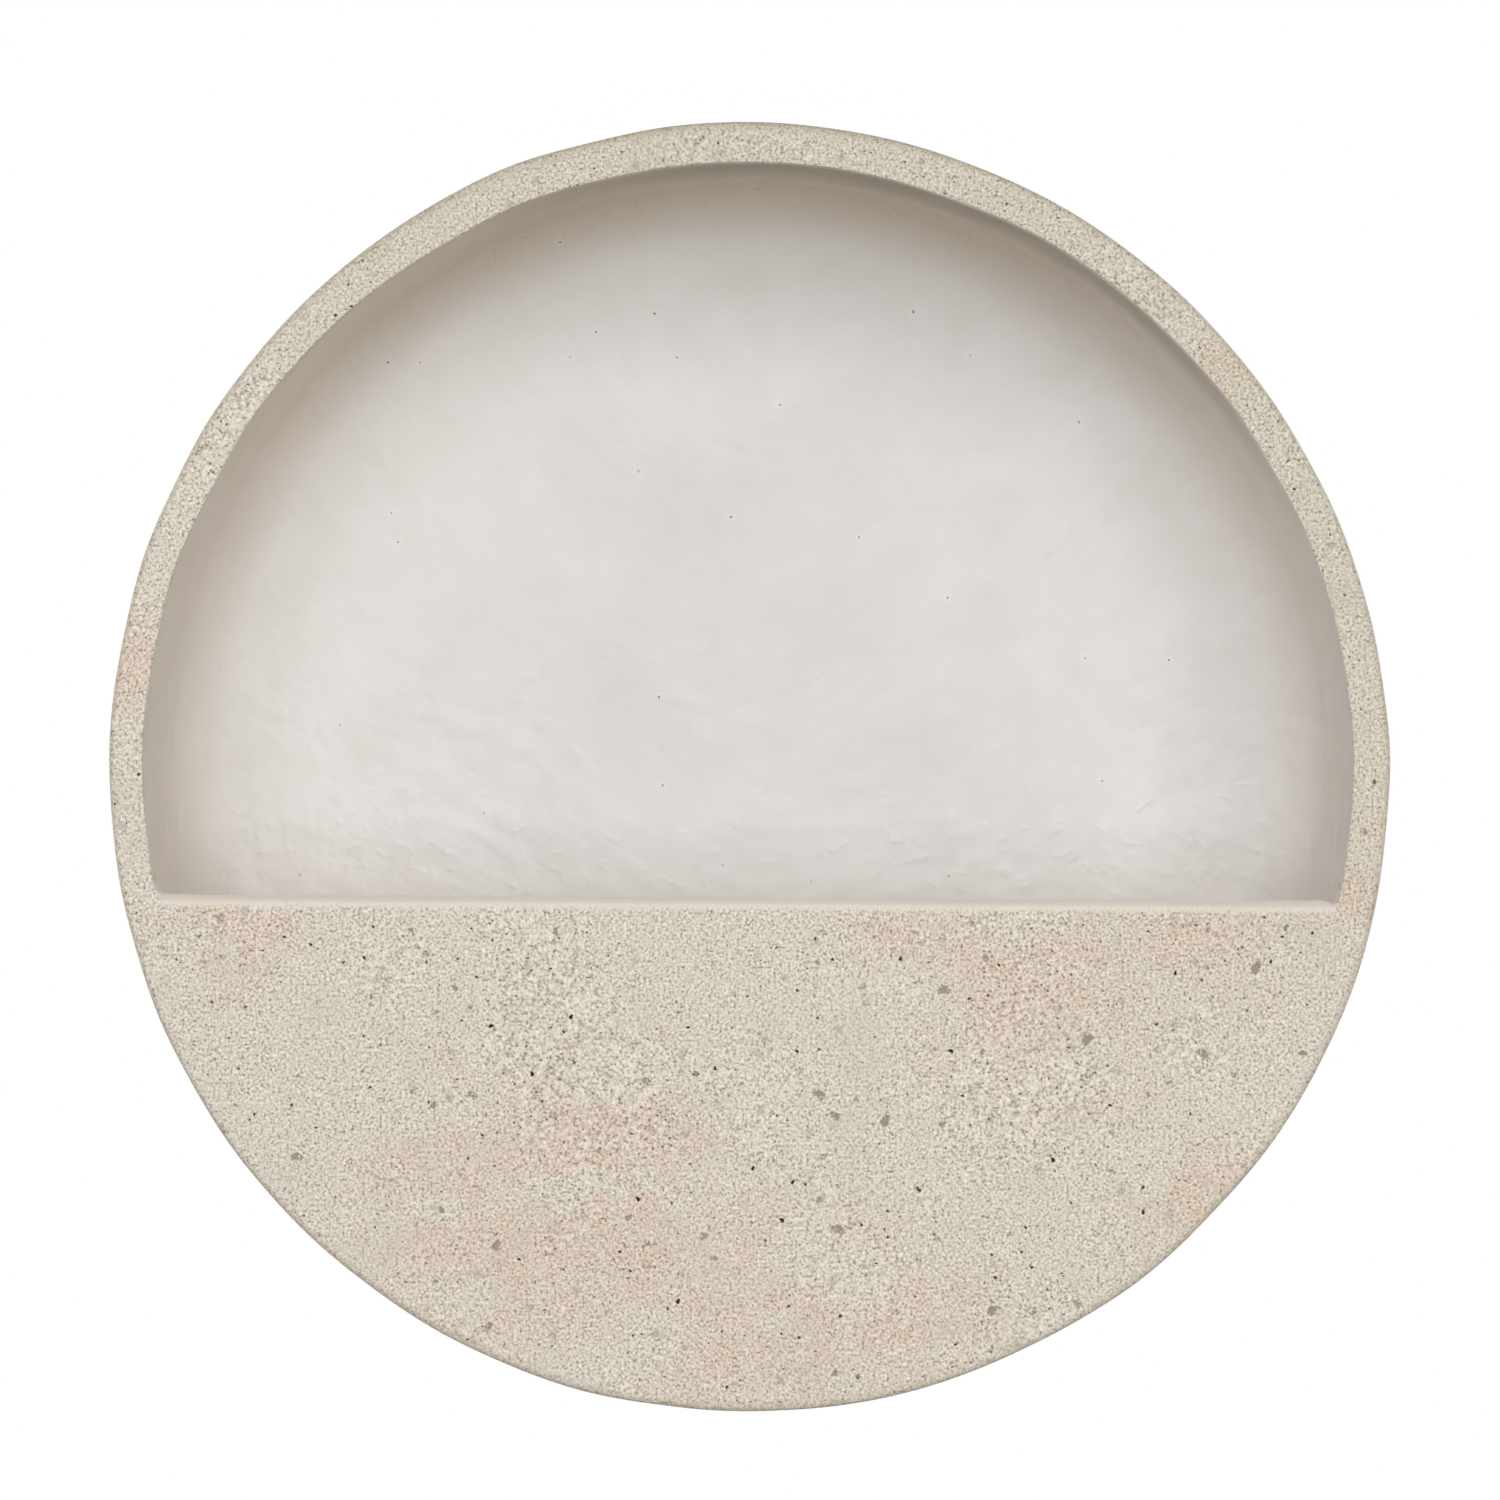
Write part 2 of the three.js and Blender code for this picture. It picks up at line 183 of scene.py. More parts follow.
def inside(points, loops):
    """Which points are inside an odd number of the loops."""
    odd = np.zeros(len(points), bool)
    x, y = points.T
    for loop in loops:
        for (ax, ay), (bx, by) in zip(loop, np.roll(loop, -1, axis=0)):
            if ay != by:
                odd ^= ((ay > y) != (by > y)) & (x < (bx - ax) * (y - ay) / (by - ay) + ax)
    return odd


def nearest(points, others):
    """From each point, the distance to the nearest of the others."""
    tree = KDTree(len(others))
    for index, (x, y) in enumerate(others):
        tree.insert((x, y, 0), index)
    tree.balance()
    return np.array([tree.find((x, y, 0))[2] for x, y in points])


def off_rims(points, loops, reach):
    """0 on the loops, and 1 from a reach away from them."""
    return step(0, reach, nearest(points, np.vstack(loops)))


def hex_grid(low, high, spacing, rng):
    """Points a spacing apart over a rectangle, each row half a step off the last."""
    x, y = np.meshgrid(
        np.arange(low[0], high[0] + spacing, spacing),
        np.arange(low[1], high[1] + spacing, spacing * math.sqrt(0.75)),
    )
    x[1::2] += spacing / 2
    points = np.c_[x.ravel(), y.ravel()]
    return points + rng.uniform(-0.12, 0.12, points.shape) * spacing


def fill(loops, spacing, rng, details=(), finer=None):
    """Triangles inside the first loop and outside the others: (points, triangles), the loops' points first.

    details are clusters of extra points, which keep the even ones away. finer is (test, spacing) for a part
    of the area that takes closer points.
    """
    fixed = np.vstack(loops)
    low, high = fixed.min(0), fixed.max(0)
    even = hex_grid(low, high, spacing, rng)
    gap = np.full(len(even), spacing)
    if finer:
        test, close = finer
        fine = hex_grid(low, high, close, rng)
        even = np.vstack([even[~test(even)], fine[test(fine)]])
        gap = np.where(test(even), close, spacing)
    keep = inside(even, loops)
    even, gap = even[keep], gap[keep]
    if len(even):
        keep = nearest(even, fixed) > 0.6 * gap
        even, gap = even[keep], gap[keep]
    if len(details):
        extra = np.vstack(details)
        extra = extra[inside(extra, loops)]
        extra = extra[nearest(extra, fixed) > 0.3]
        even = np.vstack([even[nearest(even, extra) > 0.35 * gap], extra])
    edges = []
    first = 0
    for loop in loops:
        count = len(loop)
        edges += [(first + i, first + (i + 1) % count) for i in range(count)]
        first += count
    found = delaunay_2d_cdt([Vector(p) for p in np.vstack([fixed, even])], edges, [], 0, 1e-6, False)
    points = np.array([tuple(p) for p in found[0]])
    triangles = np.array(found[2])
    rim = (triangles < len(fixed)).all(1)
    middles = points[triangles[rim]].mean(1)
    drop = np.zeros(len(triangles), bool)
    drop[rim] = ~inside(middles, loops)
    return points, triangles[~drop]


# ---- smooth random heights ----


def ripple(points, wavelength, seed, count=28):
    """A smooth random height at each point, with an rms of 1."""
    rng = np.random.default_rng(seed)
    direction = rng.normal(size=(count, points.shape[1]))
    direction /= np.linalg.norm(direction, axis=1)[:, None]
    wave = direction * (2 * math.pi / (wavelength * rng.uniform(0.7, 1.4, count)))[:, None]
    return np.sin(points @ wave.T + rng.uniform(0, 2 * math.pi, count)).sum(1) / math.sqrt(count / 2)


def step(low, high, x):
    """0 below low, 1 above high, smooth between them."""
    t = np.clip((x - low) / (high - low), 0, 1)
    return t * t * (3 - 2 * t)


# How far the hand-finished outline stands off a true circle, by angle: 0 is +X, 90 is +Z.
OUTLINE = {0: -0.1, 20: -0.8, 45: -0.7, 75: 0.6, 90: 0.5, 120: 1.1, 150: -0.3, 180: -0.8, 225: 0.0, 270: 0.85}
OUTLINE |= {300: 0.65, 330: 0.5}
# The same for the window's edge on the ring.
MOUTH = {0: -0.5, 30: -0.9, 60: -0.6, 90: -0.4, 120: -0.1, 150: -0.1, 180: -0.2, 270: 0.0}
SMOOTH_REACH = 30  # degrees
SMOOTH_SPREAD = 12.0


def smooth_offset(angle, offsets):
    """The offset at each angle, smoothed over the angles beside it."""
    table = np.arange(360.0)
    near = np.arange(-SMOOTH_REACH, SMOOTH_REACH + 1)
    weight = np.exp(-0.5 * (near / SMOOTH_SPREAD) ** 2)
    values = np.interp(table, list(offsets), list(offsets.values()), period=360)
    padded = np.concatenate([values[-SMOOTH_REACH:], values, values[:SMOOTH_REACH]])
    smooth = np.convolve(padded, weight / weight.sum(), mode="valid")
    return np.interp(np.degrees(angle) % 360, table, smooth, period=360)


def settle(points):
    """Moves points of the casting and its lining as the real mould and hand finishing left them."""
    x, y, z = points.T
    radius = np.hypot(x, z)
    angle = np.arctan2(z, x)
    depth = y - FRONT_Y
    near_drain = np.exp(-((x / 20) ** 2) - ((y - DRAIN_Y) / 16) ** 2) * (z < -100)
    near_mouth = step(MOUTH_R - 8.5, MOUTH_R - 3.5, radius) * step(OUTER_R - 2, OUTER_R - 7, radius)
    near_mouth *= step(40, 6, depth) * step(-50, -25, z)
    out = smooth_offset(angle, OUTLINE) * step(OUTER_R - 7, OUTER_R - 1.5, radius)
    out += smooth_offset(angle, MOUTH) * near_mouth
    out += 0.12 * ripple(np.c_[x, z], 34, 5) * step(110, 140, radius)
    scale = 1 + out * (1 - near_drain) / np.maximum(radius, 1)
    moved = np.c_[x * scale, y, z * scale]

    forward = step(0, 20, -y) * (1 - near_drain)
    on_panel = forward * step(0, 30, PANEL_TOP_Z - z)
    moved[:, 1] += 0.12 * forward * ripple(points, 55, 6) + 0.05 * on_panel * ripple(points, 14, 7)

    edge = np.exp(-(((z - PANEL_TOP_Z) / 6.0) ** 2)) * step(0, 3, MOUTH_R - radius)
    rise = EDGE_RISE * step(0, MOUTH_ARRIS, depth) - EDGE_FALL * np.clip((depth - MOUTH_ARRIS) / 5, 0, 1)
    uneven = 0.16 * ripple(np.c_[x], 60, 8, 8) + 0.05 * ripple(np.c_[x], 13, 9, 10)
    moved[:, 2] += edge * (rise * step(18, 12, depth) + uneven)
    return moved


# ---- meshes ----


SHARP_EDGE = math.radians(38)
JOIN_WITHIN = 0.002 * MM


class Surface:
    """Faces gathered patch by patch. Patches join where their points coincide."""

    def __init__(self):
        self.points = []
        self.faces = []
        self.marks = {}
        self.count = 0

    def add(self, points, faces, **marks):
        self.faces += [tuple(int(i) + self.count for i in face) for face in faces]
        self.points.append(np.asarray(points, float))
        for name, values in marks.items():
            column = self.marks.setdefault(name, [])
            column.append((self.count, np.broadcast_to(values, len(points))))
        self.count += len(points)

    def bands(self, loops):
        """Quads between neighbouring loops of as many points each."""
        count = len(loops[0])
        sides = [(i, (i + 1) % count) for i in range(count)]
        faces = []
        for low in range(0, (len(loops) - 1) * count, count):
            high = low + count
            faces += [(low + i, low + j, high + j, high + i) for i, j in sides]
        self.add(np.vstack(loops), faces)

    def cap(self, loops, spacing, rng, y):
        """A flat face at y, inside the first loop and outside the others."""
        flat, faces = fill(loops, spacing, rng)
        self.add(upright(flat, y), faces)

    def piece(self, name, change=None, tint=None):
        """The gathered faces as an object. change moves its points, and tint gives a value for each."""
        points = np.vstack(self.points)
        mesh = bpy.data.meshes.new(name)
        mesh.from_pydata(points * MM, [], self.faces)
        marks = {"tint": tint(points)} if tint else {}
        for mark, columns in self.marks.items():
            marks[mark] = np.zeros(self.count, np.float32)
            for first, column in columns:
                marks[mark][first : first + len(column)] = column
        for mark, values in marks.items():
            mesh.attributes.new(mark, "FLOAT", "POINT").data.foreach_set("value", values)
        work = bmesh.new()
        work.from_mesh(mesh)
        bmesh.ops.remove_doubles(work, verts=work.verts, dist=JOIN_WITHIN)
        bmesh.ops.recalc_face_normals(work, faces=work.faces)
        work.to_mesh(mesh)
        work.free()
        if change:
            where = np.empty(len(mesh.vertices) * 3, np.float32)
            mesh.vertices.foreach_get("co", where)
            moved = change(where.reshape(-1, 3).astype(float) / MM) * MM
            mesh.vertices.foreach_set("co", moved.astype(np.float32).ravel())
        mesh.update()
        mesh.shade_smooth()
        mesh.set_sharp_from_angle(angle=SHARP_EDGE)
        return put(name, mesh)


def upright(points, y):
    """Points of the x-z plane, at one y or at a y each."""
    return np.c_[points[:, 0], np.broadcast_to(y, len(points)), points[:, 1]]


def level(points, z):
    """Points of the x-y plane, at one z."""
    return np.c_[points, np.broadcast_to(z, len(points))]


# ---- the window's outline ----

CORNER_STEPS = 8
RING_STEPS = 300
CHORD_STEPS = 190
CHORD = slice(2 * CORNER_STEPS + RING_STEPS + 1, None)  # points on the straight edge, between its corners


def corner_of(rounding, ring_growth, edge_growth):
    r = rounding + min(ring_growth, edge_growth)
    z = PANEL_TOP_Z - edge_growth + r
    x = math.sqrt((MOUTH_R + ring_growth - r) ** 2 - z**2)
    return r, x, z, math.atan2(z, x)


def window_loop(ring_growth=0.0, edge_growth=0.0):
    """The window's edge, moved outwards: right corner, ring, left corner, then the straight edge."""
    r, x, z, right = corner_of(RIGHT_CORNER, ring_growth, edge_growth)
    right_arc = arc((x, z), r, -math.pi / 2, right, CORNER_STEPS)
    r, x, z, left = corner_of(LEFT_CORNER, ring_growth, edge_growth)
    left_arc = arc((-x, z), r, math.pi - left, 1.5 * math.pi, CORNER_STEPS)
    ring = arc((0, 0), MOUTH_R + ring_growth, right, math.pi - left, RING_STEPS)
    chord = line(left_arc[-1], right_arc[0], CHORD_STEPS)
    return np.vstack([right_arc, ring[1:-1], left_arc, chord[1:-1]])


RIGHT_ANGLE = corner_of(RIGHT_CORNER, 0, 0)[3]
LEFT_ANGLE = math.pi - corner_of(LEFT_CORNER, 0, 0)[3]


def hollow_mouth(radius, edge_z):
    """A circle cut off by a straight edge, with a point for each of window_loop's.

    Also gives the angles of its round part, from the right end of the edge over the top to the left end.
    """
    end = math.asin(edge_z / radius)
    half = CORNER_STEPS // 2
    base_x = window_loop()[:, 0]
    end_x = radius * math.cos(end)
    right_edge = line((base_x[0], edge_z), (end_x, edge_z), half)
    left_edge = line((-end_x, edge_z), (base_x[CHORD.start - 1], edge_z), half)
    angles = np.concatenate(
        [
            np.linspace(end, RIGHT_ANGLE, half + 1),
            np.linspace(RIGHT_ANGLE, LEFT_ANGLE, RING_STEPS + 1)[1:-1],
            np.linspace(LEFT_ANGLE, math.pi - end, half + 1),
        ]
    )
    chord = np.c_[base_x[CHORD], np.full(CHORD_STEPS - 1, edge_z)]
    return np.vstack([right_edge[:-1], polar(radius, angles), left_edge[1:], chord]), angles


LOW_STEPS = 170


def low_angles(radius, edge_z):
    """The circle's angles under a straight edge, from its left end round the bottom to its right end."""
    end = math.asin(edge_z / radius)
    return np.linspace(math.pi - end, 2 * math.pi + end, LOW_STEPS + 1)


# ---- a round hollow, opened out flat ----


class Hollow:
    """The back, cove and side wall of a hollow, laid out as a disc: the distance along it from the middle."""

    def __init__(self, radius, back_y, cove):
        self.radius = radius
        self.back_y = back_y
        self.cove = cove
        self.flat = radius - cove
        self.wall = self.flat + cove * math.pi / 2

    def out_flat(self, angle, y):
        """Where a point of the side wall lies on the disc."""
        return polar(self.wall + (self.back_y - self.cove - y), angle)

    def place(self, points, height=0.0):
        """The disc's points in the hollow, raised off its surface by a height."""
        s = np.hypot(*points.T)
        angle = np.arctan2(points[:, 1], points[:, 0])
        turn = np.clip((s - self.flat) / self.cove, 0, math.pi / 2)
        radius = np.minimum(s, self.flat) + self.cove * np.sin(turn)
        y = self.back_y - self.cove * (1 - np.cos(turn)) - np.maximum(s - self.wall, 0)
        return upright(polar(radius - height * np.sin(turn), angle), y - height * np.cos(turn))


DRAIN_STEPS = 40


def drain_loop(hollow):
    """The drain hole's edge in the side wall, on the flat disc."""
    x, y = circle(DRAIN_R, DRAIN_STEPS).T
    angle = 1.5 * math.pi + np.arcsin(x / hollow.radius)
    return hollow.out_flat(angle, DRAIN_Y + y)


def drain_rim(radius):
    """The same edge in space, on a round wall of that radius."""
    x, y = circle(DRAIN_R, DRAIN_STEPS).T
    return np.c_[x, DRAIN_Y + y, -np.sqrt(radius**2 - x**2)]


# ---- pits, dark grains and fibres ----


class Spot:
    """A small uneven round mark on a surface: a pit, a pinhole or a grain that stands out."""

    RINGS = ((0.5, 6), (0.85, 9), (1.0, 12), (1.2, 12))

    def __init__(self, middle, radius, depth, tone, turn):
        self.middle = np.array(middle)
        self.radius = radius
        self.depth = depth
        self.tone = tone
        self.turn = turn

    def reach(self, angle):
        uneven = 0.26 * np.sin(2 * angle + self.turn) + 0.16 * np.sin(3 * angle + 2 * self.turn)
        return self.radius * (1 + uneven)

    def points(self):
        rings = [self.middle[None]]
        for share, count in self.RINGS:
            angle = np.linspace(0, 2 * math.pi, count, endpoint=False) + 5 * share
            rings.append(self.middle + polar(share * self.reach(angle), angle))
        return np.vstack(rings)


def spot_maker(rng, sizes, spread, depth, tones):
    """Makes spots of random size and tone. sizes are radii with their shares, depth a share of the radius."""
    radii, shares = zip(*sizes)

    def make(middle):
        radius = rng.choice(radii, p=shares) * rng.uniform(*spread)
        return Spot(middle, radius, depth * radius, rng.uniform(*tones), rng.uniform(0, 6))

    return make


def spotted(points, spots):
    """How deep each point lies in a spot, and how dark it is there."""
    depth = np.zeros(len(points))
    tone = np.zeros(len(points))
    for spot in spots:
        offset = points - spot.middle
        near = np.flatnonzero(np.abs(offset).max(1) < 2 * spot.radius)
        share = np.hypot(*offset[near].T) / spot.reach(np.arctan2(offset[near, 1], offset[near, 0]))
        depth[near] += spot.depth * np.clip(1 - share**2, 0, 1) ** 0.6
        tone[near] = np.maximum(tone[near], spot.tone * step(1.15, 0.9, share))
    return depth, tone


SPOTS_APART = 4.0


def scatter(rng, count, low, high, allowed, make, chosen=()):
    """The chosen spots, and others at random allowed places of a rectangle, none of them on another."""
    found = list(chosen)
    middles = np.array([spot.middle for spot in chosen]).reshape(-1, 2)
    while len(found) < count + len(chosen):
        middle = rng.uniform(low, high)
        spot = make(middle)
        clear = not len(middles) or np.hypot(*(middles - middle).T).min() > SPOTS_APART
        if clear and allowed(middle[None])[0]:
            found.append(spot)
            middles = np.vstack([middles, middle])
    return found


STRAND_STEP = 0.25
STRAND_HALF_WIDTH = 0.48
STRAND_ROWS = (-0.6, -0.3, 0, 0.3, 0.6)


def strand(start, length, heading, bend):
    """The middle line of a loose fibre in the lining's surface."""
    count = int(length / STRAND_STEP)
    turn = heading + bend * np.linspace(-0.5, 0.5, count)
    return start + np.cumsum(polar(STRAND_STEP, turn), axis=0)


def strand_points(path):
    along = np.gradient(path, axis=0)
    along /= np.linalg.norm(along, axis=1)[:, None]
    across = np.c_[-along[:, 1], along[:, 0]]
    return np.vstack([path[::2] + offset * across[::2] for offset in STRAND_ROWS])


# ---- the casting ----

RIM_COUNT = 720
FRONT_SPACING = 1.35
SIDE_SPACING = 2.5
BACK_SPACING = 4.5
SEAT_SPACING = 3.0
HIDDEN_SPACING = 7.0
TURNS = np.linspace(0, math.pi / 2, 6)  # along a rounded arris
PLATE_CORNER_STEPS = 6
WELL_STEPS = 18
BORE_STEPS = 24


def seat_loop(side, grow):
    """The outline of a hanging plate's seat, grown all round."""
    r = PLATE_CORNER + grow
    half_x, half_z = PLATE_W / 2 - PLATE_CORNER, PLATE_H / 2 - PLATE_CORNER
    middle = np.array([side * HANGER_X, HANGER_Z])
    corners = ((1, 1), (-1, 1), (-1, -1), (1, -1))
    quarter = math.pi / 2
    return np.vstack(
        [
            arc(middle + (half_x * sx, half_z * sz), r, quarter * i, quarter * (i + 1), PLATE_CORNER_STEPS)
            for i, (sx, sz) in enumerate(corners)
        ]
    )


def screw_middles(side):
    """Where the lower and the upper screw of a hanging plate stand."""
    return [(side * HANGER_X, HANGER_Z + z) for z in (-SCREW_OFFSET, SCREW_OFFSET)]


def well_loop(side, radius):
    x = side * HANGER_X
    top = arc((x, WELL_HIGH_Z), radius, 0, math.pi, WELL_STEPS)
    return np.vstack([top, arc((x, WELL_LOW_Z), radius, math.pi, 2 * math.pi, WELL_STEPS)])


# The clearest flecks and pits, as pixels of the photograph.
FLECKS_PX = ((491, 1026), (532, 1074), (951, 1051), (638, 1199), (678, 1301), (571, 1017))
FLECKS_PX += ((1053, 1160), (782, 1220))
PITS_PX = ((820, 1095), (1256, 968), (1203, 1054), (838, 1229), (944, 990), (885, 1121))
PITS_PX += ((993, 1311), (1087, 1040))
# The others: radii in millimetres, each with its share.
FRONT_PITS, FRONT_PIT_COUNT = ((0.45, 0.4), (0.6, 0.3), (0.8, 0.2), (1.1, 0.1)), 130
FRONT_GRAINS, FRONT_GRAIN_COUNT = ((0.24, 0.6), (0.33, 0.3), (0.43, 0.1)), 170
SIDE_PITS, SIDE_PIT_COUNT = ((0.6, 0.5), (0.9, 0.35), (1.3, 0.15)), 190
SPOT_MARGIN = 3.2


def front_spots(rng):
    """Pits and dark grains of the front face."""

    def on_face(points):
        radius = np.hypot(*points.T)
        beside_hollow = (radius > MOUTH_R + SPOT_MARGIN) | (points[:, 1] < PANEL_TOP_Z - 4)
        return beside_hollow & (radius < OUTER_R - SPOT_MARGIN)

    area = (-OUTER_R, -OUTER_R), (OUTER_R, OUTER_R)
    pit = spot_maker(rng, FRONT_PITS, (0.85, 1.15), 0.5, (0.2, 0.5))
    grain = spot_maker(rng, FRONT_GRAINS, (0.85, 1.2), -0.12, (0.6, 1.0))
    chosen = [Spot(seen_at(pixel, FRONT_Y), 0.5, -0.05, 1.0, pixel[0]) for pixel in FLECKS_PX]
    chosen += [Spot(seen_at(pixel, FRONT_Y), 1.25, 0.5, 0.5, pixel[0]) for pixel in PITS_PX]
    pits = scatter(rng, FRONT_PIT_COUNT, *area, on_face, pit, chosen)
    return pits + scatter(rng, FRONT_GRAIN_COUNT, *area, on_face, grain)


def side_spots(rng, drain):
    """Pits of the side, on the side unrolled."""
    around = 2 * math.pi * OUTER_R

    def on_side(points):
        away = np.hypot(*(points - drain).T) > FLANGE_R + 4
        return away & (points[:, 0] > 3) & (points[:, 0] < around - 3)

    pit = spot_maker(rng, SIDE_PITS, (0.85, 1.15), 0.55, (0.3, 0.7))
    low, high = (0, FRONT_Y + FRONT_ARRIS + 3), (around, -BACK_ARRIS - 3)
    return scatter(rng, SIDE_PIT_COUNT, low, high, on_side, pit)


def add_arris(body, radii, depths):
    """A rounded edge all round the casting."""
    body.bands([upright(circle(radius, RIM_COUNT), y) for radius, y in zip(radii, depths)])


def add_front(body, rng):
    edge = circle(OUTER_R - FRONT_ARRIS, RIM_COUNT)
    mouth = window_loop(RING_ARRIS, MOUTH_ARRIS)
    spots = front_spots(rng)
    flat, faces = fill([edge, mouth], FRONT_SPACING, rng, [spot.points() for spot in spots])
    depth, tone = spotted(flat, spots)
    inner = off_rims(flat, [edge, mouth], 2.5)
    grit = 0.035 * ripple(flat, 3.6, 31, 60) + 0.03 * ripple(flat, 9, 32, 40)
    body.add(upright(flat, FRONT_Y + depth + inner * grit), faces, tone=tone)
    add_arris(body, OUTER_R - FRONT_ARRIS * (1 - np.sin(TURNS)), FRONT_Y + FRONT_ARRIS * (1 - np.cos(TURNS)))


def add_side(body, rng):
    length = 2 * math.pi * OUTER_R
    front, back = FRONT_Y + FRONT_ARRIS, -BACK_ARRIS
    around = np.linspace(0, length, RIM_COUNT + 1)
    rows = np.linspace(front, back, 34)[1:-1]
    outline = np.vstack(
        [
            np.c_[around, np.full(RIM_COUNT + 1, front)],
            np.c_[np.full(len(rows), length), rows],
            np.c_[around[::-1], np.full(RIM_COUNT + 1, back)],
            np.c_[np.zeros(len(rows)), rows[::-1]],
        ]
    )
    middle = np.array([length / 2, DRAIN_Y])
    seat_x, seat_y = circle(FLANGE_R + SEAT_GAP, 64).T
    seat = np.c_[middle[0] + OUTER_R * np.arcsin(seat_x / OUTER_R), DRAIN_Y + seat_y]
    spots = side_spots(rng, middle)
    flat, faces = fill([outline, seat], SIDE_SPACING, rng, [spot.points() for spot in spots])
    depth, tone = spotted(flat, spots)
    inner = off_rims(flat, [outline, seat], 4)
    grit = 0.05 * ripple(flat, 8, 33, 40)
    radius = OUTER_R - depth + inner * grit
    angle = math.pi / 2 + flat[:, 0] / OUTER_R
    body.add(upright(polar(radius, angle), flat[:, 1]), faces, tone=tone)
    add_arris(body, OUTER_R - BACK_ARRIS * (1 - np.cos(TURNS)), -BACK_ARRIS * (1 - np.sin(TURNS)))
    add_drain(body, rng, np.c_[seat_x, DRAIN_Y + seat_y])


def add_drain(body, rng, seat):
    """The flat seat of the bung's flange, and the hole through to the hollow."""
    hole = circle(DRAIN_R, DRAIN_STEPS, (0, DRAIN_Y))
    outside = np.c_[seat, -np.sqrt(OUTER_R**2 - seat[:, 0] ** 2)]
    body.bands([outside, level(seat, SPOT_FACE_Z)])
    flat, faces = fill([seat, hole], 2.0, rng)
    body.add(level(flat, SPOT_FACE_Z), faces)
    body.bands([level(hole, SPOT_FACE_Z), drain_rim(HOLLOW_R)])


def add_back(body, rng):
    """The flat back, with the seats, wells and screw bores of both hanging plates."""
    seats = [seat_loop(side, SEAT_GAP + 0.5) for side in (-1, 1)]
    body.cap([circle(OUTER_R - BACK_ARRIS, RIM_COUNT)] + seats, BACK_SPACING, rng, 0)
    for side, edge in zip((-1, 1), seats):
        seat = seat_loop(side, SEAT_GAP)
        well = well_loop(side, WELL_R)
        bores = [circle(BORE_R, BORE_STEPS, middle) for middle in screw_middles(side)]
        body.bands([upright(edge, 0), upright(seat, -0.5), upright(seat, SEAT_Y)])
        body.cap([seat, well] + bores, SEAT_SPACING, rng, SEAT_Y)
        for loop, floor_y in [(well, WELL_Y)] + [(bore, BORE_Y) for bore in bores]:
            body.bands([upright(loop, SEAT_Y), upright(loop, floor_y)])
            body.cap([loop], SEAT_SPACING, rng, floor_y)


def add_window(body, rng):
    """The window's edge, the back of the pocket wall and the hollow behind the lining."""
    arris = [
        upright(
            window_loop(RING_ARRIS * (1 - math.sin(t)), MOUTH_ARRIS * (1 - math.sin(t))),
            FRONT_Y + MOUTH_ARRIS * (1 - math.cos(t)),
        )
        for t in TURNS
    ]
    mouth = window_loop()
    high = mouth[:, 1] > LIP_BOTTOM_Z

    def wall(ring_radius, ring_y, loop, y):
        """The ring's upper part at one radius and y, and the rest of the edge at another."""
        points = np.where(high[:, None], mouth * ring_radius / MOUTH_R, loop)
        return upright(points, np.where(high, ring_y, y))

    back_arris_y = HOLLOW_FRONT_Y - BACK_LIP
    walls = [
        wall(MOUTH_R, LIP_Y, mouth, LIP_Y),
        wall(HOLLOW_R, LIP_Y, mouth, LIP_Y),
    ]
    for t in TURNS:
        edge = window_loop(0, MOUTH_ARRIS * (1 - math.cos(t)))
        walls.append(wall(HOLLOW_R, HOLLOW_FRONT_Y, edge, back_arris_y + BACK_LIP * math.sin(t)))
    final, angles = hollow_mouth(HOLLOW_R, PANEL_TOP_Z - MOUTH_ARRIS)
    walls.append(upright(final, HOLLOW_FRONT_Y))
    body.bands(arris + walls)

    half = CORNER_STEPS // 2
    straight = np.vstack([final[half + len(angles) - 1 :], final[: half + 1]])
    low = low_angles(HOLLOW_R, PANEL_TOP_Z - MOUTH_ARRIS)
    low_arc = polar(HOLLOW_R, low[-2:0:-1])
    body.cap([np.vstack([straight, low_arc])], HIDDEN_SPACING, rng, HOLLOW_FRONT_Y)

    hollow = Hollow(HOLLOW_R, -BACK_T, COVE_R + BED)
    rim = hollow.out_flat(np.concatenate([angles, low[1:-1]]), HOLLOW_FRONT_Y)
    flat, faces = fill([rim, drain_loop(hollow)], HIDDEN_SPACING, rng)
    body.add(hollow.place(flat), faces)


# Where the sand is warmer: pixel of the photograph and reach in pixels.
WARM_PX = ((490, 1240, 120), (610, 1180, 90), (760, 1330, 90), (930, 1310, 60), (1040, 1000, 85))
WARM_PX += ((1210, 930, 60), (1355, 870, 60), (235, 925, 60), (125, 660, 45), (1235, 375, 45))
WARM_PX += ((905, 950, 35), (1195, 1205, 55))
PX_PER_MM = FOCAL_PX / CAMERA_AWAY


def sand_warmth(points):
    """How warm the sand is at each point of the casting, from 0 to about 1."""
    flat = points[:, [0, 2]]
    warm = np.full(len(flat), 0.12)
    for x, y, reach in WARM_PX:
        away = np.hypot(*(flat - seen_at((x, y), FRONT_Y)).T) * PX_PER_MM
        warm += np.exp(-((away / reach) ** 2))
    warm *= 1 + 0.45 * ripple(flat, 26, 61, 40) + 0.25 * ripple(flat, 9, 62, 40)
    return np.clip(warm, 0, 1.1).astype(np.float32)


def casting():
    rng = np.random.default_rng(21)
    body = Surface()
    for add in (add_front, add_side, add_back, add_window):
        add(body, rng)
    return body.piece("casting", settle, sand_warmth)


# ---- the lining ----

